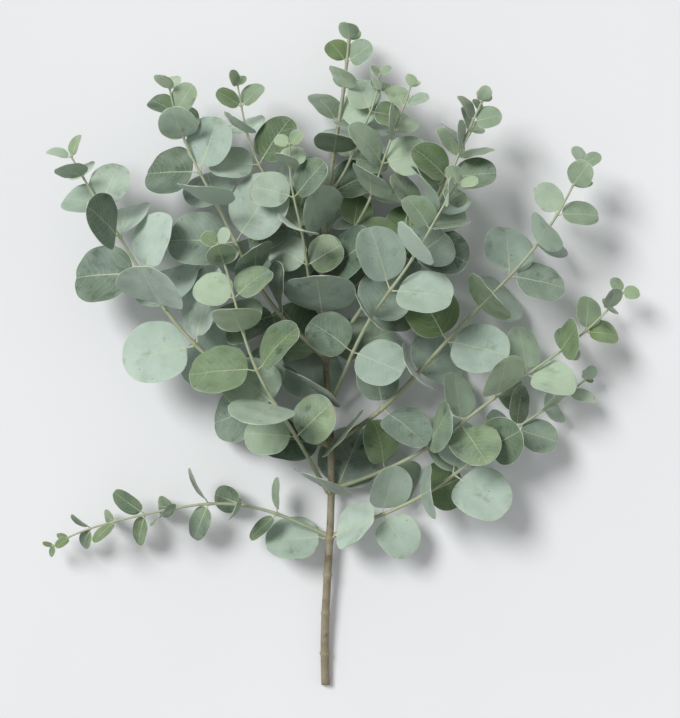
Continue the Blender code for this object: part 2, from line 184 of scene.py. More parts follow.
# The veins. Widths and reaches are in leaf lengths, distances from the rim in millimetres, and
# the laterals' own width and waviness in their steps. Here and below, two numbers are where a
# change starts and ends, and two more are what it runs from and to.
HALF_MIDRIB = (0.0135, 0.0035)
MIDRIB_EDGE = (0.45, 1.3)
LATERALS = 9.0
LATERALS_SHIFT = 50.3
LATERAL_EDGE = (0.012, 0.062)
LATERAL_FADE = (0.0, 0.55, 1.0, 0.35)
LATERAL_END = (1.4, 3.0)
LEAN_FORWARD = (0.45, 0.75)
WANDER = 0.20
RIM_VEIN = 2.0
RIM_VEIN_EDGE = (0.06, 0.38)
RIM_VEIN_STRENGTH = 0.4
NET_CELLS = 34.0
NET_EDGE = (0.0, 0.10)

# The colours of the leaves. The tone is stretched to draw from it which leaves are fresher and
# which are bluer. A strength is how much a layer covers what lies under it.
FRESH_DRAW = 7.3
FRESH_RANGE = (0.72, 0.98)
FRESH_LOSS = 0.18
FRESH_STRENGTH = 0.8
COOL_DRAW = 3.7
COOL_STRENGTH = 0.7
UNDERSIDE_BLOOM = 0.18
CLOUD_RANGE = (0.35, 0.7)
RIM_WIDTH = (0.10, 0.55)
RIM_PATCHES = (0.3, 0.6, 0.45, 0.95)
DRY_RANGE = (0.60, 0.68)
DRY_WIDTH = (0.3, 1.5, 0.8, 0.0)
NET_STRENGTH = 0.05
LATERAL_STRENGTH = 0.26
MIDRIB_STRENGTH = 0.80
SPECK_STRENGTH = 0.75
LEAF_RELIEF = 0.00018
GLOW_COLOUR = (0.55, 1.0, 0.3)

# The skin of the stems, and the rings of the cut as shares of the way from its edge inwards
STREAK_RANGE = (0.48, 0.66)
STREAK_STRENGTH = 0.55
OLD_BLOOM_LOSS = 0.30
COLLAR_STRENGTH = 0.24
PORE_STRENGTH = 0.6
GRAIN_RANGE = (0.4, 0.65)
CUT_RANGE = (0.02, 0.05)
CAMBIUM_RANGE = (0.05, 0.16)
PITH_RANGE = (0.84, 0.95)
SKIN_ROUGHNESS = (0.48, 0.68)
SKIN_RELIEF = 0.00020

# The fine stems. A ridge has its height in radii, how many go round, how far it winds in
# radians a metre, and whether it starts elsewhere on each shoot.
MAIN_SIDES = 28
SHOOT_SIDES = 16
RING_STEP = 0.003
PAIR_RINGS = (-0.0036, -0.0024, -0.0015, -0.0008, -0.0003, 0.0003, 0.0008, 0.0015, 0.0024, 0.0036)
LEAST_STEP = 0.0002
TIP_RING = 0.0008
COLLAR_LENGTH = 0.0006
COLLAR_LOST = 0.6
COLLAR_RADII = (0.0015, 0.0035)
FLARE_LENGTH = 0.0035
SQUARENESS = 0.05
SQUARE_RADII = (0.0012, 0.0030)
RIDGES = ((0.012, 5, 90, 1), (0.010, 9, -210, 0))
AGE_RADII = (0.0007, 0.0036)
PAIR_TINT_LENGTH = 0.003

# The buds at the tips, and the main stem's bare pairs, their leaf scars and its cut
BUD_RINGS = 5
BUD_RADII = 1.5
MAIN_BUD = 0.7
BUD_PLUMPNESS = 0.35
BUD_FULLEST = 1.4
BARE_SWELLING = 0.12
SCAR_TURN = 0.4
SCAR_RISE = 0.0004
SCAR_HEIGHT = 0.0005
SCAR_WIDTH = 0.0015
SCAR_LENGTH = 0.0011
CUT_RINGS = (0.12, 0.3, 0.5, 0.68, 0.84, 0.93, 0.985)
CUT_ROUGHNESS = 0.00012
CUT_WAVES = 7
CUT_FADE = 0.006
CUT_EDGE = 0.05

SUN_FROM = (-0.62, 0.48, 0.95)
SKY_COLOUR = (0.985, 0.99, 1.0)

# A leaf's node is its place on its shoot's middle line, its way the shoot's direction there,
# and its foot how far out from there it starts. Its along and its face are the directions of
# its length and of its upper side.
Leaf = namedtuple(
    "Leaf",
    "name shoot young node way foot along face length width stalk widest bend cup wave phase",
)
Surface = namedtuple("Surface", "points faces marks")


def unit(v):
    return v / np.linalg.norm(v)


def hump(distance, width, power=2):
    """1 at no distance, falling evenly to nothing beyond about twice the width."""
    return np.exp(-((distance / width) ** power))


def turned(v, axis, degrees):
    """v turned about a unit axis."""
    angle = math.radians(degrees)
    level = np.dot(axis, v) * (1 - math.cos(angle))
    return v * math.cos(angle) + np.cross(axis, v) * math.sin(angle) + axis * level


def pair_places(shoot):
    """The distance along a shoot of each pair of leaves: closer together towards the tip."""
    share = np.linspace(0, 1, shoot.pairs)
    return shoot.first + (shoot.length - shoot.first) * (1 - (1 - share) ** CROWDING)


def axis_of(shoot, start):
    """Points along a shoot's middle line, and the directions there. Its heading turns evenly
    from start to tip with a slight sway, and its height is a rise plus an arch."""
    count = round(shoot.length / AXIS_STEP)
    share = np.linspace(0, 1, count + 1)
    heading = shoot.side * (shoot.heading + (shoot.tip_heading - shoot.heading) * share)
    heading = np.radians(heading + SWAY * np.sin(share * SWAY_HALF_WAVES * math.pi + shoot.axil))
    slope = (shoot.rise + shoot.arch * math.pi * np.cos(math.pi * share)) / shoot.length
    level = np.sqrt(1 - slope**2)
    ways = np.stack([np.sin(heading) * level, np.cos(heading) * level, slope], axis=1)
    steps = np.cumsum((ways[1:] + ways[:-1]) / 2 * shoot.length / count, axis=0)
    return start + np.vstack([np.zeros(3), steps]), ways


def at(shoot, axis, distance):
    """The point on a shoot's middle line and its direction, at a distance from its start."""
    points, ways = axis
    place = min(distance / shoot.length, 1) * (len(points) - 1)
    low = min(int(place), len(points) - 2)
    share = place - low
    point = points[low] * (1 - share) + points[low + 1] * share
    return point, unit(ways[low] * (1 - share) + ways[low + 1] * share)


def radius_at(shoot, distance):
    """A shoot's radius, which tapers to its tip and swells a little at each pair of leaves."""
    share = np.clip(distance / shoot.length, 0, 1)
    plain = shoot.tip_radius + (shoot.radius - shoot.tip_radius) * (1 - share) ** TAPER
    swell = sum(hump(distance - place, SWELLING_LENGTH) for place in pair_places(shoot))
    return plain * (1 + SWELLING * swell)


def stalk_thickness(leaf):
    return STALK_LEAST + STALK_PER_LEAF * leaf.length


def half_width(leaf, t):
    """Half the blade's width at the share t of its length: a rounded curve, blunt at both ends."""
    out = np.abs(2 * np.clip(t, 0, 1) ** leaf.widest - 1) ** ROUNDNESS
    return leaf.width / 2 * (1 - out) ** (1 / ROUNDNESS)


def dish(leaf, t, y):
    """How far a blade stands above its plane: a shallow dish, with a wave round its rim."""
    across = 2 * y / leaf.width
    out = 2 * t - 1
    turn = 2 * np.arctan2(across, out) + leaf.phase
    return leaf.width * (leaf.cup * across**2 + leaf.wave * np.hypot(out, across) ** 3 * np.sin(turn))


def bent(leaf, t, height):
    """The distances along and above the stalk's line of points that stand at a height on a
    blade that bends evenly along its middle."""
    angle = leaf.bend * t
    x = leaf.stalk + leaf.length * np.sin(angle) / leaf.bend + height * np.sin(angle)
    return x, height * np.cos(angle) - leaf.length * (1 - np.cos(angle)) / leaf.bend


def leaf_sheet(leaf, rows, columns, lift=0.0, foot_at=0.0):
    """The plan's coarse leaf: a grid of points lift above its middle surface. The first row is
    the stalk's end, or foot_at along the stalk, and the rest are the blade."""
    t = (1 - np.cos(np.linspace(0, math.pi, rows))) / 2
    t = (END_ROW + (1 - 2 * END_ROW) * t)[:, None]
    v = np.linspace(-1, 1, columns + 1)
    y = half_width(leaf, t) * v
    x, z = bent(leaf, t, dish(leaf, t, y) + lift)
    blade = np.stack([x, y, z], axis=2)
    reach = np.full_like(v, foot_at)
    foot = np.stack([reach, v * stalk_thickness(leaf) / 2, np.full_like(v, lift)], axis=1)
    return np.concatenate([foot[None], blade])


def leaf_frame(leaf):
    """The rows of a leaf's along, across and face directions, and the point of its foot."""
    out = unit(leaf.along - np.dot(leaf.along, leaf.way) * leaf.way)
    side = np.cross(leaf.face, leaf.along)
    return np.stack([leaf.along, side, leaf.face]), leaf.node + out * leaf.foot


def placed(leaf, points):
    """Points on a leaf's own axes, put where the leaf is."""
    turn, foot = leaf_frame(leaf)
    return points @ turn + foot


def tipped(leaf, axis, degrees):
    """The leaf, turned about an axis through its foot."""
    along, face = (turned(v, axis, degrees) for v in (leaf.along, leaf.face))
    return leaf._replace(along=along, face=face)


def sheet_faces(rows, columns, first=0):
    """The quads of a grid of points, row by row."""
    i, j = np.meshgrid(np.arange(rows), np.arange(columns), indexing="ij")
    a = first + (i * (columns + 1) + j).ravel()
    return np.stack([a, a + 1, a + columns + 2, a + columns + 1], axis=1)


def swollen(leaf, foot_at=0.0):
    """Points and quads round a leaf, a little outside both its faces, from foot_at along its
    stalk: an upper and a lower sheet, and a wall round their rims."""
    rows, columns = LEAF_GRID
    lift = BLADE / 2 + (YOUNG_CLEARANCE if leaf.young else CLEARANCE)
    sheets = [leaf_sheet(leaf, rows, columns, way * lift, foot_at) for way in (1, -1)]
    points = placed(leaf, np.concatenate(sheets).reshape(-1, 3))
    size = len(points) // 2
    grid = np.arange(size).reshape(rows + 1, columns + 1)
    rim = np.concatenate([grid[:, 0], grid[-1, 1:], grid[-2::-1, -1], grid[0, -2::-1]])
    walls = np.stack([rim[:-1], rim[1:], rim[1:] + size, rim[:-1] + size], axis=1)
    quads = [sheet_faces(rows, columns, first) for first in (0, size)]
    return points, np.vstack([*quads, walls]).tolist()


def ring_angles(sides):
    return np.arange(sides) * 2 * math.pi / sides


def round_shoot(points, ways, radii):
    """Rings of points round a line, each square to the line's way there. A ring's radii are
    those at its even angles."""
    level = np.cross(ways, UP)
    level /= np.linalg.norm(level, axis=1)[:, None]
    upright = np.cross(level, ways)
    turn = ring_angles(radii.shape[1])
    ring = np.cos(turn)[:, None] * level[:, None] + np.sin(turn)[:, None] * upright[:, None]
    return points[:, None] + ring * radii[..., None]


def tube(points, radii, sides=8):
    """Points and quads of an open tube along a line of points, with the round tube of the
    given radii inside its flats."""
    ways = np.gradient(points, axis=0)
    ways /= np.linalg.norm(ways, axis=1)[:, None]
    wide = np.repeat(radii[:, None] / math.cos(math.pi / sides), sides, axis=1)
    skin = round_shoot(points, ways, wide)
    skin = np.concatenate([skin, skin[:, :1]], axis=1)
    return skin.reshape(-1, 3), sheet_faces(len(points) - 1, sides).tolist()


class Pile:
    """What already lies on the surface, as trees of faces with their boxes."""

    def __init__(self):
        self.things = []

    def add(self, name, points, faces):
        tree = BVHTree.FromPolygons(points.tolist(), faces)
        self.things.append((name, points.min(axis=0), points.max(axis=0), tree))

    def is_clear_of(self, points, faces, wanted):
        """Whether a thing meets none of those in the pile whose names are wanted."""
        low, high = points.min(axis=0), points.max(axis=0)
        tree = None
        for name, other_low, other_high, other in self.things:
            if (low > other_high).any() or (high < other_low).any() or not wanted(name):
                continue
            tree = tree or BVHTree.FromPolygons(points.tolist(), faces)
            if tree.overlap(other):
                return False
        return True


def lies_clear(leaf, pile):
    """Whether a leaf meets nothing in the pile. Its foot may be near its shoot and its twin,
    and a young leaf may touch its shoot."""
    kin = {leaf.shoot, leaf.name[:-1] + "a"}
    if not pile.is_clear_of(*swollen(leaf), lambda name: name not in kin):
        return False
    if leaf.young:
        kin.remove(leaf.shoot)
    start = leaf.stalk * (YOUNG_FOOT_SHARE if leaf.young else FOOT_SHARE)
    return pile.is_clear_of(*swollen(leaf, start), lambda name: name in kin)


def raised(leaf, points):
    """The leaf, tipped up about its foot by the least angle that keeps its points above the
    surface, or None where no tilt does. The angle is found by halving."""
    level = np.cross(leaf.along, UP)
    level /= max(np.linalg.norm(level), 1e-9)

    def is_above(tried):
        turn, foot = leaf_frame(tried)
        return (points @ turn[:, 2]).min() + foot[2] >= 0

    if is_above(leaf):
        return leaf
    low, high = 0.0, STEEPEST
    if not is_above(tipped(leaf, level, high)):
        return None
    for _ in range(HALVINGS):
        middle = (low + high) / 2
        low, high = (low, middle) if is_above(tipped(leaf, level, middle)) else (middle, high)
    return tipped(leaf, level, high)


def swings():
    """Every turn and lean, the smallest first."""
    both = [(turn, lean) for turn in TURNS for lean in LEANS]
    return sorted(both, key=lambda swing: abs(swing[0]) + LEAN_COST * abs(swing[1]))


def settled(leaf, pile):
    """The leaf with the least swing that lies clear of the surface and of the pile, or None."""
    sheets = [leaf_sheet(leaf, *LEAF_GRID, way * BLADE / 2) for way in (1, -1)]
    points = np.concatenate(sheets).reshape(-1, 3)
    for turn, lean in swings():
        tried = tipped(leaf, leaf.way, turn)
        hinge = unit(np.cross(tried.along, leaf.way))
        tried = raised(tipped(tried, hinge, lean), points)
        if tried is None or np.dot(tried.along, leaf.way) > math.cos(math.radians(LEAST_ANGLE)):
            continue
        if lies_clear(tried, pile):
            return tried
    return None


def leaf_size(shoot, pair):
    """How long a pair's leaves are, before chance."""
    share = pair / (shoot.pairs - 1)
    grown = FIRST_SIZE + (1 - FIRST_SIZE) * math.sin(math.pi / 2 * min(share / FULL_SIZE_AT, 1))
    past = max(share - FULL_SIZE_AT, 0) / (1 - FULL_SIZE_AT)
    return shoot.leaf * grown * (1 - (1 - TIP_SIZE) * past**FADE)


def wanted_leaf(shoot, axis, pair, half, chance):
    """A leaf as it grows before it meets anything: opposite its twin, a quarter turn on from
    the pair below, leaning towards the tip, and rolled to show more of its face."""
    share = pair / (shoot.pairs - 1)
    distance = pair_places(shoot)[pair]
    node, way = at(shoot, axis, distance)
    level = unit(np.cross(way, UP))
    upright = np.cross(level, way)
    azimuth = FIRST_AZIMUTH + 90 * (pair + half * 2)
    azimuth = math.radians(azimuth + chance.uniform(-AZIMUTH_CHANCE, AZIMUTH_CHANCE))
    out = level * math.cos(azimuth) + upright * math.sin(azimuth)
    lean = LEAN_AT_BASE - LEAN_LOST_AT_TIP * share
    lean = math.radians(lean + chance.uniform(-LEAN_CHANCE, LEAN_CHANCE))
    along = way * math.cos(lean) + out * math.sin(lean)
    face = way * math.sin(lean) - out * math.cos(lean)
    face = unit(face + chance.uniform(*LIGHT_RANGE) * (UP - np.dot(UP, along) * along))
    length = leaf_size(shoot, pair) * chance.uniform(*LENGTH_RANGE)
    young = length < FULL_GROWN
    radius = radius_at(shoot, distance)
    thickness = STALK_LEAST + STALK_PER_LEAF * length
    foot = FOOT_DEPTH * radius if young else radius + GAP + thickness / 2
    hidden = radius - foot if young else 0
    return Leaf(
        name=f"{shoot.name}_leaf_{pair + 1}{'ab'[half]}",
        shoot=shoot.name,
        young=young,
        node=node,
        way=way,
        foot=foot,
        along=along,
        face=face,
        length=length,
        width=length * shoot.broad * chance.uniform(*WIDTH_RANGE),
        stalk=length * STALK_SHARE * chance.uniform(*STALK_RANGE) + hidden,
        widest=chance.uniform(*WIDEST_RANGE),
        bend=math.radians(chance.uniform(*BEND_RANGE)),
        cup=chance.uniform(*CUP_RANGE),
        wave=chance.uniform(*WAVE_RANGE),
        phase=chance.uniform(0, 2 * math.pi),
    )


def grow_shoots():
    """Every shoot with its middle line."""
    main_axis = axis_of(MAIN, np.array([0.0, 0.0, MAIN.radius]))
    axes = {MAIN: main_axis}
    for shoot in SIDE_SHOOTS:
        distance = pair_places(MAIN)[shoot.axil] + AXIL_HEIGHT
        point, way = at(MAIN, main_axis, distance)
        out = unit(np.cross(way, UP)) * shoot.side
        foot = radius_at(MAIN, distance) + shoot.radius + GAP
        axes[shoot] = axis_of(shoot, point + out * foot)
    return axes


def grow_leaves(axes):
    """Every leaf where it settles, the main stem's first, and smaller where it has less room.
    One with no room at all isn't there."""
    chance = np.random.default_rng(SEED)
    pile = Pile()
    for shoot, (points, _) in axes.items():
        reach = np.linspace(0, shoot.length, len(points))
        pile.add(shoot.name, *tube(points, radius_at(shoot, reach) + YOUNG_CLEARANCE))
    leaves = []
    for shoot, axis in axes.items():
        for pair, half in itertools.product(range(shoot.pairs), (0, 1)):
            wanted = wanted_leaf(shoot, axis, pair, half, chance)
            for size in SHRINKS:
                smaller = wanted._replace(length=wanted.length * size, width=wanted.width * size)
                found = settled(smaller, pile)
                if found:
                    leaves.append(found)
                    pile.add(found.name, *swollen(found))
                    break
    return leaves


def shift_to_frame(leaves):
    """The way from the plan to the frame: the mean way from the middle of each full-grown
    leaf's box to the middle of its solid's box."""
    ways = []
    for leaf in leaves:
        if leaf.young:
            continue
        points = placed(leaf, leaf_sheet(leaf, *LEAF_GRID).reshape(-1, 3))
        middle = (points.min(axis=0) + points.max(axis=0)) / 2
        ways.append(np.mean(np.array(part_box(leaf.name)), axis=0) - middle)
    shift = np.mean(ways, axis=0)
    misfit = np.abs(ways - shift).max()
    if misfit > MOST_MISFIT:
        raise RuntimeError(f"the packed leaves are up to {misfit:.4f} m from the plan")
    return shift


@functools.cache
def plan():
    """The shoots with their middle lines and the leaves, both in the frame's place."""
    axes = grow_shoots()
    leaves = grow_leaves(axes)
    shift = shift_to_frame(leaves)
    axes = {shoot: (points + shift, ways) for shoot, (points, ways) in axes.items()}
    return axes, [leaf._replace(node=leaf.node + shift) for leaf in leaves]


def smooth(value, low, high):
    """0 below low, 1 above high, and an even curve between."""
    share = np.clip((value - low) / (high - low), 0, 1)
    return share * share * (3 - 2 * share)


def ring_faces(rings, around, first=0):
    """The quads between neighbouring rings of points, closed all the way round."""
    i, k = np.meshgrid(np.arange(rings - 1), np.arange(around), indexing="ij")
    a = (first + i * around + k).ravel()
    b = (first + i * around + (k + 1) % around).ravel()
    return np.stack([a, a + around, b + around, b], axis=1)


def end_faces(start, around, pole, in_order):
    """The triangles from a ring to the pole that closes it. They run round the ring's own way
    where in_order is true, as the first ring's do, and back where it is false."""
    k = np.arange(around)
    corners = [start + k, start + (k + 1) % around, np.full(around, pole)]
    return np.stack(corners if in_order else corners[::-1], axis=1)


def closed(rings, first_pole, last_pole):
    """The points and faces of a surface of rings that ends in a pole at both ends."""
    count, around = rings.shape[:2]
    points = np.vstack([rings.reshape(-1, 3), first_pole, last_pole])
    size = count * around
    faces = [
        ring_faces(count, around),
        end_faces(0, around, size, True),
        end_faces(size - around, around, size + 1, False),
    ]
    return points, faces


def face_list(faces):
    """Groups of faces as one plain list."""
    return [face for group in faces for face in group.tolist()]


def joined(surfaces):
    """Several surfaces as one."""
    firsts = np.cumsum([0] + [len(s.points) for s in surfaces])
    faces = [group + first for s, first in zip(surfaces, firsts) for group in s.faces]
    marks = {name: np.concatenate([s.marks[name] for s in surfaces]) for name in surfaces[0].marks}
    return Surface(np.concatenate([s.points for s in surfaces]), faces, marks)


def across_shares(columns):
    """Shares of the half width from -1 to 1: closer together at the midrib, with two more by
    each rim."""
    even = np.linspace(-1, 1, columns + 1)[1:-1]
    inner = even * (CENTRED + (1 - CENTRED) * even**2) * RIM_COLUMNS[0]
    rim = np.array([*RIM_COLUMNS, 1])
    return np.concatenate([-rim[::-1], inner, rim])


def stacked(x, y, z):
    """Three grids as one grid of threes."""
    return np.stack(np.broadcast_arrays(x, y, z), axis=-1)


def soft_waves(leaf, looks, t, across, v):
    """Soft bumps over a blade, and small waves that grow towards its rim, in leaf widths."""
    bumps = [np.sin(a * t + b * across + c * leaf.phase) for a, b, c in BUMP_WAVES]
    ripple = np.sin(looks.rim_waves * np.arctan2(across, 2 * t - 1) + 3 * leaf.phase)
    return looks.bumps * np.prod(bumps, axis=0) + looks.ripple * ripple * v**4


def rim_distance(leaf, blade, across):
    """How far in from its rim each point of a blade is: half its width at its middle."""
    out = np.abs(2 * blade**leaf.widest - 1) ** ROUNDNESS + np.abs(across) ** ROUNDNESS
    return (1 - np.minimum(out, 1) ** (1 / ROUNDNESS)) * leaf.width / 2


def leaf_rings(leaf, grid, looks, notch):
    """A leaf's rings of points round its length and its two poles, on the leaf's own axes,
    with the marks and the distance from the rim at each point.

    A ring is a flat oval. Its half width is the stalk's radius along the stalk and the blade's
    half width beyond it. Its upper and lower halves stand off the leaf's middle surface by the
    thicker of the blade, which thins to a round rim, and of the rib, which is the stalk's round
    section running on along the blade, tapering, mostly below it. The middle surface is the
    plan's dish on its even bend, with soft bumps. The tip is drawn in by a slight notch."""
    rows, stalk_rows, columns = grid
    start = -leaf_root(leaf)
    stalk = np.linspace(start, leaf.stalk, stalk_rows + 1)[:-1]
    t = (1 - np.cos(np.linspace(0, math.pi, rows + 1))) / 2
    t = np.concatenate([(stalk - leaf.stalk) / leaf.length, t[:-1]])[:, None]
    blade = np.clip(t, 0, 1)
    on_blade = smooth(t, 0, looks.rib_blend)
    reach = leaf.stalk + t * leaf.length
    radius = stalk_thickness(leaf) / 2 * looks.stalk_share
    radius = radius * (1 + looks.stalk_flare * hump(reach, STALK_FLARE_LENGTH * radius))
    rib = radius * (RIB_END + (1 - RIB_END) * (1 - blade) ** RIB_TAPER)

    shares = across_shares(columns)
    v = np.concatenate([shares, shares[-2:0:-1]])
    is_upper = np.arange(len(v)) < len(shares)
    wide = (half_width(leaf, blade) ** 4 + radius**4 * (1 - blade)) ** 0.25
    y = wide * v
    across = 2 * y / leaf.width
    height = dish(leaf, blade, y) * smooth(reach, 0, leaf.stalk)
    height = height + on_blade * leaf.width * soft_waves(leaf, looks, t, across, v)

    round_rim = np.sqrt(np.clip(1 - np.abs(v) ** RIM_BLUNTNESS, 0, 1))
    sheet = looks.blade / 2 * round_rim * smooth(t, *BLADE_START)
    round_rib = np.sqrt(1 - np.clip(y / rib, -1, 1) ** 2)
    ridge = rib * ((1 - on_blade) * round_rib + on_blade * np.exp(-2 * (y / rib) ** 2))
    ridge = ridge * np.where(is_upper, 1 - (1 - UPPER_RIB) * on_blade, 1)
    thick = (sheet**3 + ridge**3) ** (1 / 3)
    height = height + thick * np.where(is_upper, 1, -1) * (np.abs(v) < 1)

    x, z = bent(leaf, blade, height)
    x = np.where(t < 0, reach, x)
    z = np.where(t < 0, height, z)
    x = x - notch * leaf.length * hump(across, NOTCH_WIDTH) * smooth(t, NOTCH_START, 1)
    tip = bent(leaf, 1.0, dish(leaf, 1.0, 0.0))
    poles = np.array([[start, 0, 0], [tip[0] - notch * leaf.length, 0, tip[1]]])

    from_rim = np.where(t < 0, leaf.width / 2, rim_distance(leaf, blade, across))
    marks = stacked(t, y / leaf.length, np.where(is_upper, 1.0, 0.0)).reshape(-1, 3)
    marks = np.vstack([marks, [t[0, 0], 0, 0.5], [1, 0, 0.5]])
    return stacked(x, y, z), poles, marks, np.append(from_rim, [leaf.width / 2, 0])


def leaf_root(leaf):
    """How far a full-grown leaf's stalk runs back from its foot to reach into its shoot."""
    if leaf.young:
        return 0.0
    sine = math.sqrt(1 - np.dot(leaf.along, leaf.way) ** 2)
    return (GAP + stalk_thickness(leaf)) / sine


def leaf_surface(leaf, looks, chance, pile):
    """A leaf's closed surface in its place, with what its material reads: plan is the share
    of its length, the distance across it in lengths and 1 on the upper face, and growth is
    its age, its tone by chance and the distance from its rim in millimetres."""
    notch = chance.choice(NOTCHES)
    tone = chance.uniform(0, 1) * BLOOM_SHARES.get(leaf.shoot, 1)
    grid = YOUNG_ROWS if leaf.young else GROWN_ROWS
    if leaf.length < SMALL:
        grid = SMALL_ROWS
    rings, poles, marks, from_rim = leaf_rings(leaf, grid, looks, notch)
    points, faces = closed(rings, poles[:1], poles[1:])
    leaf = eased(raised(leaf, points) or leaf, points, faces, pile)
    age = smooth(leaf.length, looks.young_length, looks.old_length)
    growth = stacked(age * AGE_SHARES.get(leaf.shoot, 1), tone, from_rim * 1000)
    return Surface(placed(leaf, points), faces, {"plan": marks, "growth": growth})


def eased(leaf, points, faces, pile):
    """The leaf, tipped by the least of a few small angles that keeps its fine surface clear of
    the other shoots' leaves and of the surface it lies on, or as it is where none does. It
    joins the pile there."""
    corners = face_list(faces)
    level = unit(np.cross(leaf.along, leaf.face))

    def is_clear(tried):
        fine = placed(tried, points)
        is_above = fine[:, 2].min() >= -EASE_SINK
        return is_above and pile.is_clear_of(fine, corners, lambda name: name != leaf.shoot)

    tries = (tipped(leaf, level, angle) for angle in EASES)
    leaf = next(filter(is_clear, tries), leaf)
    pile.add(leaf.shoot, placed(leaf, points), corners)
    return leaf


@functools.cache
def leaf_surfaces():
    """Every leaf's surface by its name: the full-grown ones first, then the young ones."""
    looks = bpy.context.scene.eucalyptus_leaf
    _, leaves = plan()
    pile = Pile()
    surfaces = {}
    for draws, young in ((1, False), (2, True)):
        chance = np.random.default_rng(SEED + draws)
        for leaf in leaves:
            if leaf.young == young:
                surfaces[leaf.name] = leaf_surface(leaf, looks, chance, pile)
    return surfaces


def along_shoot(shoot, axis, distances):
    """Points and ways at many distances along a shoot, and beyond its ends on a straight."""
    points, ways = axis
    reach = np.linspace(0, shoot.length, len(points))
    held = np.clip(distances, 0, shoot.length)
    place = np.stack([np.interp(held, reach, points[:, c]) for c in range(3)], axis=1)
    way = np.stack([np.interp(held, reach, ways[:, c]) for c in range(3)], axis=1)
    way /= np.linalg.norm(way, axis=1)[:, None]
    return place + way * (distances - held)[:, None], way


def ring_places(shoot, back, bare):
    """Distances of a shoot's rings: even ones, and closer ones at each pair of leaves and at
    each bare pair."""
    even = np.arange(-back, shoot.length, RING_STEP)
    near = np.add.outer([*pair_places(shoot)[:-1], *bare], PAIR_RINGS).ravel()
    tip = shoot.length + np.array([-TIP_RING, 0])
    places = np.unique(np.round(np.concatenate([[-back], even, near, tip]), 6))
    places = places[(places >= -back) & (places <= shoot.length)]
    kept = np.concatenate([[True], np.diff(places) > LEAST_STEP])
    return places[kept]


def stem_radii(shoot, places, turn, apart, bare, bud, looks):
    """A stem's radius at each ring and each angle, from how far each ring is from a pair.

    It is the plan's radius times a narrow collar at each pair, a swelling at each bare pair, a
    flare where a shoot leaves the main stem, and a round bud past the tip. Shallow ridges wind
    round it. A thin shoot is slightly square, and a bare foot has leaf scars."""
    radius = radius_at(shoot, places)
    collar = looks.collar * (1 - COLLAR_LOST * smooth(radius, *COLLAR_RADII))
    radius = radius * (1 + collar * hump(apart, COLLAR_LENGTH))
    if bare:
        radius = radius * (1 + BARE_SWELLING * sum(hump(places - s, SWELLING_LENGTH) for s in bare))
    if shoot is not MAIN:
        radius = radius * (1 + looks.flare * hump(np.maximum(places, 0), FLARE_LENGTH))
    past = np.clip((places - shoot.length) / bud, 0, 1)
    plump = 1 + BUD_PLUMPNESS * np.sin(math.pi * np.clip(past * BUD_FULLEST, 0, 1))
    radius = radius * np.sqrt(1 - past**2) * np.where(past > 0, plump, 1)
    thin = 1 - smooth(radius, *SQUARE_RADII)
    square = SQUARENESS * thin[:, None] * np.cos(4 * turn)
    ridges = sum(
        high * np.sin(count * turn + wind * places[:, None] + shift * shoot.axil)
        for high, count, wind, shift in RIDGES
    )
    radii = radius[:, None] * (1 + square + ridges * (1 - past[:, None]))
    return radii + leaf_scars(places, turn, radii, bare)


def shoot_surface(shoot, axis, looks):
    """A shoot's stem as rings round its middle line, closed at both ends, with what its
    material reads: bark_place is the place round the stem and along it, and stem is how old
    it is there, how near a pair of leaves, and the share of the radius on the cut face. It
    starts inside the main stem and ends in a small bud."""
    is_main = shoot is MAIN
    back = 0.0 if is_main else MAIN.radius + shoot.radius
    sides = MAIN_SIDES if is_main else SHOOT_SIDES
    bare = tuple(looks.bare_pairs) if is_main else ()
    bud = looks.bud_length * (MAIN_BUD if is_main else 1) + BUD_RADII * shoot.tip_radius
    bud_rings = np.sin(np.linspace(0, math.pi / 2, BUD_RINGS + 2))[1:-1]
    places = np.append(ring_places(shoot, back, bare), shoot.length + bud * bud_rings)
    centres, ways = along_shoot(shoot, axis, places)
    apart = np.abs(places[:, None] - [*pair_places(shoot), *bare]).min(axis=1)
    turn = ring_angles(sides)
    radii = stem_radii(shoot, places, turn, apart, bare, bud, looks)
    rings = round_shoot(centres, ways, radii)
    age = smooth(radius_at(shoot, np.clip(places, 0, shoot.length)), *AGE_RADII)
    marks = stacked(age, hump(apart, PAIR_TINT_LENGTH), 0)
    if is_main:
        rings, marks, places = with_cut_end(rings, marks, places, looks)
    middle = rings.mean(axis=1)
    spread = np.linalg.norm(rings - middle[:, None], axis=2)
    last = centres[-1] + ways[-1] * (shoot.length + bud - places[-1])
    points, faces = closed(rings, middle[:1], last[None])
    bark = stacked(spread * np.cos(turn), spread * np.sin(turn), places[:, None])
    bark = np.vstack([bark.reshape(-1, 3), [0, 0, places[0]], [0, 0, places[-1]]])
    stem = np.vstack([np.repeat(marks, sides, axis=0), [*marks[0, :2], is_main], marks[-1]])
    return Surface(points, faces, {"bark_place": bark, "stem": stem})


def leaf_scars(places, turn, radii, bare):
    """The low round pads where leaves were stripped from the stem's foot: two at each bare
    pair, on opposite sides and a quarter turn on from the pair below."""
    scars = np.zeros_like(radii)
    for number, place in enumerate(bare):
        middle = SCAR_TURN + math.pi / 2 * number
        swing = np.angle(np.exp(2j * (turn - middle))) / 2 * radii
        height = (places - place - SCAR_RISE)[:, None]
        scars += SCAR_HEIGHT * hump(swing, SCAR_WIDTH, 4) * hump(height, SCAR_LENGTH, 4)
    return scars


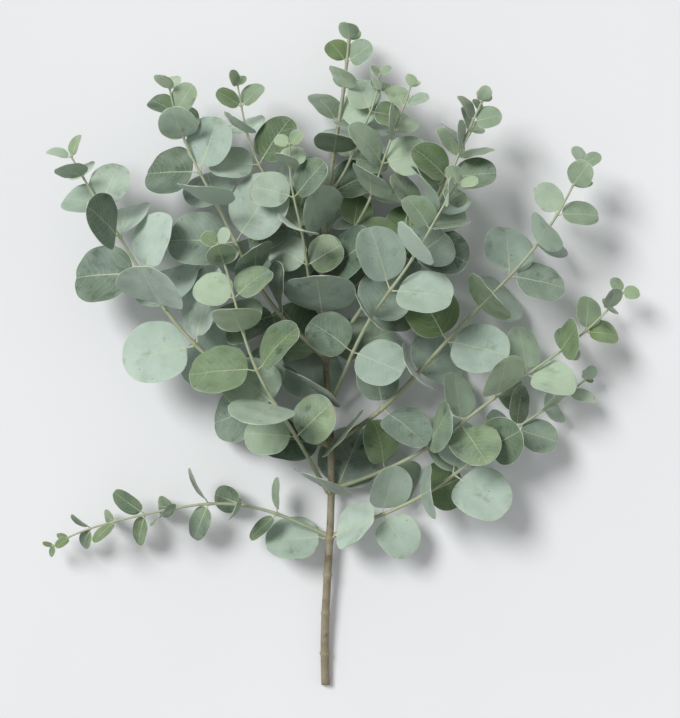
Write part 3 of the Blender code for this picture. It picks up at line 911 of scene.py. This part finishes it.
def with_cut_end(rings, marks, places, looks):
    """The main stem's rings, marks and places with a slanting, slightly rough cut across its
    foot. The cut face is rings of smaller and smaller radius, and its third mark, 0 on the
    bark, runs from the rim of the wood to its middle up to 1."""
    shares = np.array(CUT_RINGS)
    middle = rings[0].mean(axis=0)
    face = middle + (rings[0] - middle) * shares[:, None, None]
    face[:, :, 1] += CUT_ROUGHNESS * np.sin(CUT_WAVES * np.linspace(0, 2 * math.pi, rings.shape[1]))
    rings = np.concatenate([face, rings])
    places = np.concatenate([np.zeros(len(shares)), places])
    slant = (rings[:, :, 2] - middle[2]) * math.tan(looks.cut_slant)
    rings[:, :, 1] += slant * np.clip(1 - places / CUT_FADE, 0, 1)[:, None]
    face_marks = stacked(marks[0, 0], 0, 1 + CUT_EDGE - shares)
    return rings, np.concatenate([face_marks, marks]), places


def new_object(name, data):
    made = bpy.data.objects.new(name, data)
    bpy.context.scene.collection.objects.link(made)
    return made


def add_piece(name, surface, material, node):
    """Makes a surface a piece of the object, and lets it stand for the frame's node."""
    mesh = bpy.data.meshes.new(name)
    mesh.from_pydata(surface.points.tolist(), [], face_list(surface.faces))
    mesh.shade_smooth()
    for mark, values in surface.marks.items():
        layer = mesh.attributes.new(mark, "FLOAT_VECTOR", "POINT")
        layer.data.foreach_set("vector", values.astype(np.float32).ravel())
    mesh.materials.append(material)
    piece = new_object(name, mesh)
    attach(piece, "root")
    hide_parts(node)


def sign(operation, way=1):
    """A method that adds a Math node for a wire and what it is reckoned with, in that order
    or, where way is -1, turned round."""
    return lambda wire, *others: wire.tree.math(operation, *(wire, *others)[::way])


class Wire:
    """A node's output that takes part in sums."""

    __abs__ = sign("ABSOLUTE")
    __add__ = sign("ADD")
    __sub__ = sign("SUBTRACT")
    __rsub__ = sign("SUBTRACT", -1)
    __mul__ = sign("MULTIPLY")
    __truediv__ = sign("DIVIDE")
    fraction = sign("FRACT")

    def __init__(self, tree, socket):
        self.tree = tree
        self.socket = socket


class Tree:
    """A short way to write a node tree."""

    def __init__(self, tree):
        self.tree = tree

    def node(self, kind, inputs=(), **settings):
        """Adds a node, and gives its outputs by number and by name."""
        made = self.tree.nodes.new(kind)
        for name, value in settings.items():
            setattr(made, name, value)
        self.feed(made, inputs)
        wires = [Wire(self, socket) for socket in made.outputs]
        return dict(enumerate(wires)) | {wire.socket.name: wire for wire in wires}

    def feed(self, node, inputs):
        """Links or sets a node's inputs. A colour is given as its three parts."""
        for name, value in dict(inputs).items():
            socket = node.inputs[name]
            if isinstance(value, Wire):
                self.tree.links.new(value.socket, socket)
            elif socket.type == "RGBA":
                socket.default_value = (*value, 1.0)
            else:
                socket.default_value = value

    def math(self, operation, *values):
        return self.node("ShaderNodeMath", enumerate(values), operation=operation)[0]

    def mix(self, share, first, second):
        """A mix of two colours, which is the first where the share is 0."""
        inputs = {0: share, 6: first, 7: second}
        return self.node("ShaderNodeMix", inputs, data_type="RGBA", clamp_factor=True)[2]

    def layered(self, colour, layers):
        """A colour under layers of others, each with its share."""
        for share, layer in layers:
            colour = self.mix(share, colour, layer)
        return colour

    def step(self, value, low, high, to_low=0.0, to_high=1.0):
        """to_low below low, to_high above high, and an even curve between."""
        inputs = {0: value, 1: low, 2: high, 3: to_low, 4: to_high}
        return self.node("ShaderNodeMapRange", inputs, interpolation_type="SMOOTHSTEP")[0]

    def noise(self, vector, scale, detail=2.0, roughness=0.5):
        inputs = {"Vector": vector, "Scale": scale, "Detail": detail, "Roughness": roughness}
        return self.node("ShaderNodeTexNoise", inputs)[0]

    def drawn_out(self, vector, share):
        """Places for a pattern that is drawn out along the stem, by 1 over the share."""
        inputs = {0: vector, 1: (1, 1, share)}
        return self.node("ShaderNodeVectorMath", inputs, operation="MULTIPLY")[0]

    def mark(self, name):
        """A mark on the surface as a vector, and its three parts."""
        vector = self.node("ShaderNodeAttribute", attribute_name=name)["Vector"]
        parts = self.node("ShaderNodeSeparateXYZ", {0: vector})
        return vector, parts[0], parts[1], parts[2]

    def group(self, group, **inputs):
        named = {name.replace("_", " "): value for name, value in inputs.items()}
        return self.node("ShaderNodeGroup", named, node_tree=group)

    def bump(self, height, distance, strength=0.8):
        inputs = {"Height": height, "Distance": distance, "Strength": strength}
        return self.node("ShaderNodeBump", inputs)[0]


def new_group(name, inputs, outputs):
    """An empty shader group, its tree and the wires that come into it. An input that starts
    at None is a vector, and each other is a number that starts at its value."""
    made = bpy.data.node_groups.new(name, "ShaderNodeTree")
    for socket, value in inputs.items():
        kind = "NodeSocketVector" if value is None else "NodeSocketFloat"
        added = made.interface.new_socket(socket, in_out="INPUT", socket_type=kind)
        if value is not None:
            added.default_value = value
    for socket in outputs:
        made.interface.new_socket(socket, in_out="OUTPUT", socket_type="NodeSocketFloat")
    tree = Tree(made)
    return made, tree, tree.node("NodeGroupInput")


@functools.cache
def bloom_group():
    """Waxy bloom: how much of the pale wax is there. It is an amount, thicker and thinner in
    soft clouds, with fine flecks, and rubbed off here and there."""
    inputs = {"Vector": None, "Amount": 0.6, "Rubbed": 0.5}
    group, tree, into = new_group("Waxy bloom", inputs, ("Bloom",))
    place = into["Vector"]
    clouds = tree.noise(place, scale=70, detail=3) - 0.5
    flecks = tree.noise(place, scale=900) - 0.5
    worn = tree.step(tree.noise(place, scale=75, detail=3, roughness=0.6), *WORN_RANGE)
    bloom = into["Amount"] + clouds * BLOOM_CLOUDS + flecks * BLOOM_FLECKS
    bloom = bloom - worn * into["Rubbed"]
    tree.node("NodeGroupOutput", {"Bloom": bloom})
    return group


@functools.cache
def vein_group():
    """Leaf veins, from the share along the blade, the distance across it in leaf lengths, the
    distance from the rim in millimetres and the leaf's tone. The laterals leave the midrib at
    even steps, run out and forward, and end at a vein that follows inside the rim."""
    inputs = dict.fromkeys(("Along", "Across", "From Rim", "Tone"), 0.0)
    group, tree, into = new_group("Leaf veins", inputs, ("Midrib", "Laterals", "Net"))
    along, from_rim = into["Along"], into["From Rim"]
    aside = abs(into["Across"])
    half_midrib = along * (HALF_MIDRIB[1] - HALF_MIDRIB[0]) + HALF_MIDRIB[0]
    midrib = 1 - tree.step(aside / half_midrib, *MIDRIB_EDGE)
    place = {0: along, 1: into["Across"], 2: into["Tone"] * 40}
    place = tree.node("ShaderNodeCombineXYZ", place)[0]
    wander = (tree.noise(place, scale=4) - 0.5) * WANDER
    lean = aside * (aside * LEAN_FORWARD[1] + LEAN_FORWARD[0])
    steps = (along - lean + wander) * LATERALS + LATERALS_SHIFT
    lateral = 1 - tree.step(abs(steps.fraction() - 0.5), *LATERAL_EDGE)
    lateral = lateral * tree.step(aside, *LATERAL_FADE) * tree.step(from_rim, *LATERAL_END)
    inside_rim = 1 - tree.step(abs(from_rim - RIM_VEIN), *RIM_VEIN_EDGE)
    lateral = tree.math("MAXIMUM", lateral, inside_rim * RIM_VEIN_STRENGTH)
    cells = {"Vector": place, "Scale": NET_CELLS}
    edge = tree.node("ShaderNodeTexVoronoi", cells, feature="DISTANCE_TO_EDGE")["Distance"]
    net = 1 - tree.step(edge, *NET_EDGE)
    on_blade = tree.step(along, 0.0, 0.03)
    outputs = {"Midrib": midrib, "Laterals": lateral * on_blade, "Net": net * on_blade}
    tree.node("NodeGroupOutput", outputs)
    return group


@functools.cache
def speck_group():
    """Specks: small round spots in a few of the cells of an even scatter."""
    inputs = {"Vector": None, "Scale": 300.0, "Share": 0.1, "Size": 0.2}
    group, tree, into = new_group("Specks", inputs, ("Specks",))
    cells = {"Vector": into["Vector"], "Scale": into["Scale"]}
    cells = tree.node("ShaderNodeTexVoronoi", cells)
    draws = tree.node("ShaderNodeSeparateXYZ", {0: cells["Color"]})
    chosen = tree.math("LESS_THAN", draws[0], into["Share"])
    size = into["Size"] * (draws[1] + 0.4)
    spot = 1 - tree.step(cells["Distance"] / size, 0.6, 1.0)
    tree.node("NodeGroupOutput", {"Specks": chosen * spot})
    return group


def new_material(name):
    """A material's tree and its surface shader."""
    made = bpy.data.materials.new(name)
    made.use_nodes = True
    return made, Tree(made.node_tree), made.node_tree.nodes["Principled BSDF"]


def leaf_material(name, rubbed, specks):
    """The wax-covered leaf: green flesh that is yellower in a young leaf, under pale bloom,
    with a pale midrib, fainter laterals and net, a thin pale rim with dry patches, and brown
    specks. The tone also picks out a few fresher leaves, and how blue the bloom is."""
    looks = bpy.context.scene.eucalyptus_leaf
    made, tree, shader = new_material(name)
    place = tree.node("ShaderNodeTexCoord")["Object"]
    _, along, across, upper = tree.mark("plan")
    _, age, tone, from_rim = tree.mark("growth")
    veins = tree.group(vein_group(), Along=along, Across=across, From_Rim=from_rim, Tone=tone)
    fresh = tree.step((tone * FRESH_DRAW).fraction(), *FRESH_RANGE)
    cool = (tone * COOL_DRAW).fraction()
    amount = tree.step(tone, 0.0, 1.0, looks.least_bloom, looks.most_bloom)
    amount = amount - fresh * FRESH_LOSS + (1 - upper) * UNDERSIDE_BLOOM
    bloom = tree.group(bloom_group(), Vector=place, Amount=amount, Rubbed=rubbed)["Bloom"]
    flesh = tree.mix(age, looks.young_flesh, looks.flesh)
    flesh = tree.mix(fresh * FRESH_STRENGTH, flesh, looks.fresh_flesh)
    clouds = tree.step(tree.noise(place, scale=38, detail=3), *CLOUD_RANGE) * (1 - fresh * 0.75)
    wax = tree.mix(age, looks.young_bloom, looks.bloom)
    wax = tree.mix(cool * COOL_STRENGTH, wax, looks.cool_bloom)
    rim = 1 - tree.step(from_rim, *RIM_WIDTH)
    rim = rim * tree.step(tree.noise(place, scale=120), *RIM_PATCHES)
    dry = tree.step(tree.noise(place, scale=60, detail=3), *DRY_RANGE)
    dry = dry * tree.step(from_rim, *DRY_WIDTH)
    spots = tree.group(speck_group(), Vector=place, Scale=260.0, Share=specks, Size=0.17)
    layers = (
        (clouds, looks.deep_flesh),
        (bloom, wax),
        (veins["Net"] * NET_STRENGTH, looks.rim),
        (veins["Laterals"] * LATERAL_STRENGTH, looks.rim),
        (veins["Midrib"] * MIDRIB_STRENGTH, looks.rib),
        (rim, looks.rim),
        (dry, looks.dry_edge),
        (spots["Specks"] * SPECK_STRENGTH, looks.speck),
    )
    rough = tree.step(bloom, 0.0, 1.0, looks.bare_roughness, looks.waxy_roughness)
    sunk_above = upper * -1.5 + 0.9
    relief = (veins["Net"] * 0.4 + veins["Laterals"]) * sunk_above * 0.5
    relief = relief + tree.noise(place, scale=1500) * 0.30 + tree.noise(place, scale=140) * 1.2
    inputs = {
        "Base Color": tree.layered(flesh, layers),
        "Roughness": rough + (tree.noise(place, scale=600) - 0.5) * 0.10,
        "Normal": tree.bump(relief, LEAF_RELIEF),
        "Subsurface Weight": looks.glow,
        "Subsurface Scale": looks.glow_reach,
        "Subsurface Radius": GLOW_COLOUR,
        "Sheen Weight": looks.sheen,
    }
    tree.feed(shader, inputs)
    return made


def bark_material(name, green, brown):
    """A shoot's skin: pale green and waxy where it is thin, browner where it is thick, with
    streaks along it, pale pores, and on the cut face a green edge, pale wood and pith."""
    looks = bpy.context.scene.eucalyptus_shoot
    made, tree, shader = new_material(name)
    place, *_ = tree.mark("bark_place")
    _, old, near, cut = tree.mark("stem")
    streaks = tree.noise(tree.drawn_out(place, 0.09), scale=1700, detail=3, roughness=0.6)
    blotches = tree.noise(tree.drawn_out(place, 0.5), scale=260, detail=3)
    skin = tree.mix(old + (blotches - 0.5) * 0.9, green, brown)
    dark = tree.mix(STREAK_STRENGTH, skin, looks.shade)
    amount = old * -OLD_BLOOM_LOSS + looks.bloom_amount
    bloom = tree.group(bloom_group(), Vector=place, Amount=amount, Rubbed=0.6)["Bloom"]
    spread = tree.drawn_out(place, 0.45)
    pores = tree.group(speck_group(), Vector=spread, Scale=900.0, Share=0.16, Size=0.30)["Specks"]
    grain = tree.step(tree.noise(place, scale=2600, detail=3), *GRAIN_RANGE)
    timber = tree.mix(grain, looks.wood, looks.pith)
    timber = tree.mix(tree.step(cut, *PITH_RANGE), timber, looks.pith)
    timber = tree.mix(tree.step(cut, *CAMBIUM_RANGE), looks.cambium, timber)
    layers = (
        (tree.step(streaks, *STREAK_RANGE), dark),
        (bloom, looks.bloom),
        (near * COLLAR_STRENGTH, looks.collar_colour),
        (pores * PORE_STRENGTH, looks.pore),
        (tree.step(cut, *CUT_RANGE), timber),
    )
    inputs = {
        "Base Color": tree.layered(skin, layers),
        "Roughness": tree.step(bloom, 0.0, 1.0, *SKIN_ROUGHNESS) + streaks * 0.12,
        "Normal": tree.bump(streaks + pores * 0.5, SKIN_RELIEF),
    }
    tree.feed(shader, inputs)
    return made


def floor_material(colour):
    """A plain pale matt surface with the faintest cloudiness and grain."""
    made, tree, shader = new_material("pale_floor")
    place = tree.node("ShaderNodeTexCoord")["Object"]
    clouds = tree.step(tree.noise(place, scale=2.5, detail=3), 0.3, 0.7)
    grain = tree.noise(place, scale=900)
    inputs = {
        "Base Color": tree.mix(clouds, colour, [part * 0.97 for part in colour]),
        "Roughness": grain * 0.1 + 0.7,
        "Normal": tree.bump(grain, 0.00005, 0.3),
    }
    tree.feed(shader, inputs)
    return made


def share_prop(name, description, default, high=1.0):
    return bpy.props.FloatProperty(
        name=name, description=description, default=default, min=0, max=high, subtype="FACTOR"
    )


def length_prop(name, description, default):
    return bpy.props.FloatProperty(
        name=name, description=description, default=default, min=0, precision=5, unit="LENGTH"
    )


def colour_prop(name, description, default):
    return bpy.props.FloatVectorProperty(
        name=name, description=description, default=default, size=3, min=0, max=1, subtype="COLOR"
    )


class EucalyptusLeaf(bpy.types.PropertyGroup):
    """The sizes and colours of the leaves."""

    blade: length_prop("Blade", "Thickness of a leaf's blade", 0.0005)
    stalk_share: share_prop("Stalk", "Stalk thickness as a share of the plan's", 0.84)
    stalk_flare: share_prop("Flare", "How much a stalk widens at its foot", 0.35)
    rib_blend: share_prop("Rib blend", "Share of the blade over which the stalk sinks into it", 0.12)
    bumps: share_prop("Bumps", "Height of the soft bumps, in leaf widths", 0.0065)
    ripple: share_prop("Ripple", "Height of the small waves of the rim, in leaf widths", 0.0065)
    rim_waves: bpy.props.IntProperty(name="Rim waves", description="Small waves round a rim", default=7)
    young_length: length_prop("Young", "Length of a leaf that is all young", 0.012)
    old_length: length_prop("Old", "Length of a leaf that is all grown", 0.046)
    flesh: colour_prop("Flesh", "Green under the bloom of a grown leaf", (0.062, 0.112, 0.052))
    deep_flesh: colour_prop("Deep flesh", "Darker clouds in the green", (0.036, 0.078, 0.044))
    young_flesh: colour_prop("Young flesh", "Green of a young leaf", (0.185, 0.275, 0.085))
    fresh_flesh: colour_prop("Fresh flesh", "Green of the brightest leaves", (0.150, 0.232, 0.085))
    bloom: colour_prop("Bloom", "The pale wax of a grown leaf", (0.530, 0.640, 0.550))
    cool_bloom: colour_prop("Cool bloom", "The bluest wax", (0.300, 0.400, 0.335))
    young_bloom: colour_prop("Young bloom", "The pale wax of a young leaf", (0.475, 0.600, 0.410))
    rib: colour_prop("Rib", "Stalk and midrib", (0.560, 0.600, 0.380))
    rim: colour_prop("Rim", "The thin pale edge, and the laterals", (0.620, 0.690, 0.540))
    speck: colour_prop("Speck", "Small brown marks", (0.130, 0.075, 0.035))
    dry_edge: colour_prop("Dry edge", "Dried patches of the rim", (0.290, 0.215, 0.110))
    least_bloom: share_prop("Least bloom", "Bloom of the greenest leaves", 0.12)
    most_bloom: share_prop("Most bloom", "Bloom of the palest leaves", 1.0)
    bare_roughness: share_prop("Bare roughness", "Roughness where the bloom is rubbed off", 0.40)
    waxy_roughness: share_prop("Waxy roughness", "Roughness under full bloom", 0.66)
    glow: share_prop("Glow", "How much light spreads inside a leaf", 0.20)
    glow_reach: length_prop("Glow reach", "How far light spreads inside a leaf", 0.0009)
    sheen: share_prop("Sheen", "The soft shine of the wax seen along the leaf", 0.12)


class EucalyptusShoot(bpy.types.PropertyGroup):
    """The sizes and colours of the main stem and the side shoots."""

    collar: share_prop("Collar", "Height of the ring at a pair of leaves, in radii", 0.10)
    flare: share_prop("Flare", "How much a side shoot widens at its start", 0.35)
    bud_length: length_prop("Bud", "Length of the bud at a tip", 0.0022)
    cut_slant: bpy.props.FloatProperty(
        name="Slant", description="Tilt of the cut", default=math.radians(14), subtype="ANGLE"
    )
    bare_pairs: bpy.props.FloatVectorProperty(
        name="Bare pairs",
        description="Distances from the cut of the pairs whose leaves were stripped",
        default=(0.028, 0.064, 0.098),
        size=3,
        unit="LENGTH",
    )
    green: colour_prop("Green", "Skin of a thin side shoot", (0.330, 0.390, 0.190))
    brown: colour_prop("Brown", "Skin of a thick side shoot", (0.270, 0.235, 0.125))
    bark_green: colour_prop("Bark green", "Skin of the main stem's tip", (0.270, 0.290, 0.150))
    bark_brown: colour_prop("Bark brown", "Skin of the main stem's foot", (0.205, 0.140, 0.078))
    shade: colour_prop("Shade", "Dark streaks in the skin", (0.090, 0.060, 0.032))
    bloom: colour_prop("Bloom", "Pale wax on the skin", (0.520, 0.570, 0.450))
    bloom_amount: share_prop("Bloom amount", "How much wax a thin shoot carries", 0.52)
    collar_colour: colour_prop("Collar colour", "Tint by a pair of leaves", (0.420, 0.400, 0.200))
    pore: colour_prop("Pore", "Pale pores", (0.500, 0.430, 0.290))
    wood: colour_prop("Wood", "The cut wood", (0.700, 0.610, 0.390))
    pith: colour_prop("Pith", "Pith and the darker grain of the cut", (0.520, 0.400, 0.220))
    cambium: colour_prop("Cambium", "The green ring under the bark", (0.330, 0.400, 0.120))


class EucalyptusStage(bpy.types.PropertyGroup):
    """The floor, the light and the camera."""

    floor: colour_prop("Floor", "Colour of the floor", (0.845, 0.852, 0.865))
    floor_radius: length_prop("Floor radius", "Radius of the floor", 3.0)
    floor_drop: length_prop("Floor drop", "Depth of the floor under the lowest leaf", 0.0003)
    sun: bpy.props.FloatProperty(name="Sun", description="Strength of the main light", default=2.3)
    softness: bpy.props.FloatProperty(
        name="Softness", description="Width of the main light", default=math.radians(24), subtype="ANGLE"
    )
    sky: share_prop("Sky", "Strength of the light from all round", 0.44, 4.0)
    backdrop: share_prop("Backdrop", "Brightness behind the floor", 0.83)
    lens: bpy.props.FloatProperty(
        name="Lens", description="Focal length", default=85, unit="CAMERA"
    )
    margin: share_prop("Margin", "Share of the picture's height round the stem", 0.035)


class EUCALYPTUS_OT_main_stem(bpy.types.Operator):
    """Builds the main stem, from its slanting cut to its tip"""

    bl_idname = "eucalyptus.main_stem"
    bl_label = "Main stem"

    def execute(self, context):
        looks = context.scene.eucalyptus_shoot
        axes, _ = plan()
        bark = bark_material("stem_bark", looks.bark_green, looks.bark_brown)
        surface = shoot_surface(MAIN, axes[MAIN], looks)
        add_piece(MAIN.name + "_wood", surface, bark, MAIN.name)
        return {"FINISHED"}


class EUCALYPTUS_OT_side_shoots(bpy.types.Operator):
    """Builds the stem of each side shoot, grown out of the main stem"""

    bl_idname = "eucalyptus.side_shoots"
    bl_label = "Side shoots"

    def execute(self, context):
        looks = context.scene.eucalyptus_shoot
        axes, _ = plan()
        skin = bark_material("shoot_skin", looks.green, looks.brown)
        for shoot in SIDE_SHOOTS:
            surface = shoot_surface(shoot, axes[shoot], looks)
            add_piece(shoot.name + "_twig", surface, skin, shoot.name)
        return {"FINISHED"}


class EUCALYPTUS_OT_grown_leaves(bpy.types.Operator):
    """Builds each full-grown leaf as a piece of its own"""

    bl_idname = "eucalyptus.grown_leaves"
    bl_label = "Full-grown leaves"

    def execute(self, context):
        _, leaves = plan()
        skin = leaf_material("grown_leaf", 0.32, 0.03)
        for leaf in leaves:
            if not leaf.young:
                surface = leaf_surfaces()[leaf.name]
                add_piece(leaf.name + "_blade", surface, skin, leaf.name)
        return {"FINISHED"}


class EUCALYPTUS_OT_young_leaves(bpy.types.Operator):
    """Builds the young leaves of each shoot, as one piece a shoot"""

    bl_idname = "eucalyptus.young_leaves"
    bl_label = "Young leaves"

    def execute(self, context):
        _, leaves = plan()
        skin = leaf_material("young_leaf", 0.30, 0.02)
        for shoot in (MAIN, *SIDE_SHOOTS):
            young = [leaf.name for leaf in leaves if leaf.young and leaf.shoot == shoot.name]
            surface = joined([leaf_surfaces()[name] for name in young])
            add_piece(shoot.name + "_young_leaves", surface, skin, shoot.name)
        return {"FINISHED"}


class EUCALYPTUS_OT_stage(bpy.types.Operator):
    """Builds the floor, the soft light and the camera that looks down on the stem"""

    bl_idname = "eucalyptus.stage"
    bl_label = "Stage"

    def execute(self, context):
        looks = context.scene.eucalyptus_stage
        add_floor(looks)
        add_sun(looks)
        add_sky(looks)
        add_camera(looks)
        context.scene.view_settings.view_transform = "Standard"
        return {"FINISHED"}


def add_floor(looks):
    """A round floor just under the lowest leaf."""
    bm = bmesh.new()
    bmesh.ops.create_circle(bm, cap_ends=True, segments=96, radius=looks.floor_radius)
    bmesh.ops.translate(bm, verts=bm.verts, vec=(0, 0, CAD_BOX[0].z - looks.floor_drop))
    mesh = bpy.data.meshes.new("floor")
    bm.to_mesh(mesh)
    bm.free()
    mesh.materials.append(floor_material(looks.floor))
    new_object("floor", mesh)


def add_sun(looks):
    """A wide soft light from above the upper left."""
    lamp = bpy.data.lights.new("soft_sun", "SUN")
    lamp.energy = looks.sun
    lamp.angle = looks.softness
    sun = new_object("soft_sun", lamp)
    sun.rotation_euler = (-Vector(SUN_FROM)).to_track_quat("-Z", "Y").to_euler()


def add_sky(looks):
    """An even pale sky, which the camera sees as bright as the floor."""
    world = bpy.data.worlds.new("pale_sky")
    world.use_nodes = True
    nodes = world.node_tree.nodes
    tree = Tree(world.node_tree)
    tree.feed(nodes["Background"], {"Color": SKY_COLOUR, "Strength": looks.sky})
    light = Wire(tree, nodes["Background"].outputs[0])
    seen = tree.node("ShaderNodeBackground", {"Color": SKY_COLOUR, "Strength": looks.backdrop})[0]
    camera = tree.node("ShaderNodeLightPath")["Is Camera Ray"]
    both = tree.node("ShaderNodeMixShader", {0: camera, 1: light, 2: seen})[0]
    tree.feed(nodes["World Output"], {"Surface": both})
    bpy.context.scene.world = world


def add_camera(looks):
    """A camera straight above the stem, as the photograph looks square at the foliage. The
    stem's length fills the picture's height, apart from the margins."""
    low, high = CAD_BOX
    eye = bpy.data.cameras.new("camera")
    eye.lens = looks.lens
    camera = new_object("camera", eye)
    tall = (high.y - low.y) * (1 + 2 * looks.margin)
    distance = tall / eye.sensor_width * eye.lens
    camera.location = (0, (low.y + high.y) / 2, high.z / 3 + distance)
    bpy.context.scene.camera = camera


class EUCALYPTUS_PT_looks(bpy.types.Panel):
    """The steps that build the stem's looks, in order, and their settings"""

    bl_idname = "EUCALYPTUS_PT_looks"
    bl_label = "Eucalyptus Stem"
    bl_space_type = "VIEW_3D"
    bl_region_type = "UI"
    bl_category = "Eucalyptus"

    def draw(self, context):
        for step in OPERATORS:
            self.layout.operator(step.bl_idname)
        for name in SETTINGS:
            group = getattr(context.scene, name)
            box = self.layout.box()
            for setting in group.__annotations__:
                box.prop(group, setting)


OPERATORS = (
    EUCALYPTUS_OT_main_stem,
    EUCALYPTUS_OT_side_shoots,
    EUCALYPTUS_OT_grown_leaves,
    EUCALYPTUS_OT_young_leaves,
    EUCALYPTUS_OT_stage,
)
SETTINGS = {
    "eucalyptus_leaf": EucalyptusLeaf,
    "eucalyptus_shoot": EucalyptusShoot,
    "eucalyptus_stage": EucalyptusStage,
}


def register():
    for kind in (*SETTINGS.values(), *OPERATORS, EUCALYPTUS_PT_looks):
        bpy.utils.register_class(kind)
    for name, kind in SETTINGS.items():
        setattr(bpy.types.Scene, name, bpy.props.PointerProperty(type=kind))


def unregister():
    for name in SETTINGS:
        delattr(bpy.types.Scene, name)
    for kind in (EUCALYPTUS_PT_looks, *OPERATORS, *SETTINGS.values()):
        bpy.utils.unregister_class(kind)


def main():
    register()
    bpy.ops.eucalyptus.main_stem()
    bpy.ops.eucalyptus.side_shoots()
    bpy.ops.eucalyptus.grown_leaves()
    bpy.ops.eucalyptus.young_leaves()
    bpy.ops.eucalyptus.stage()


if __name__ == "__main__":
    main()
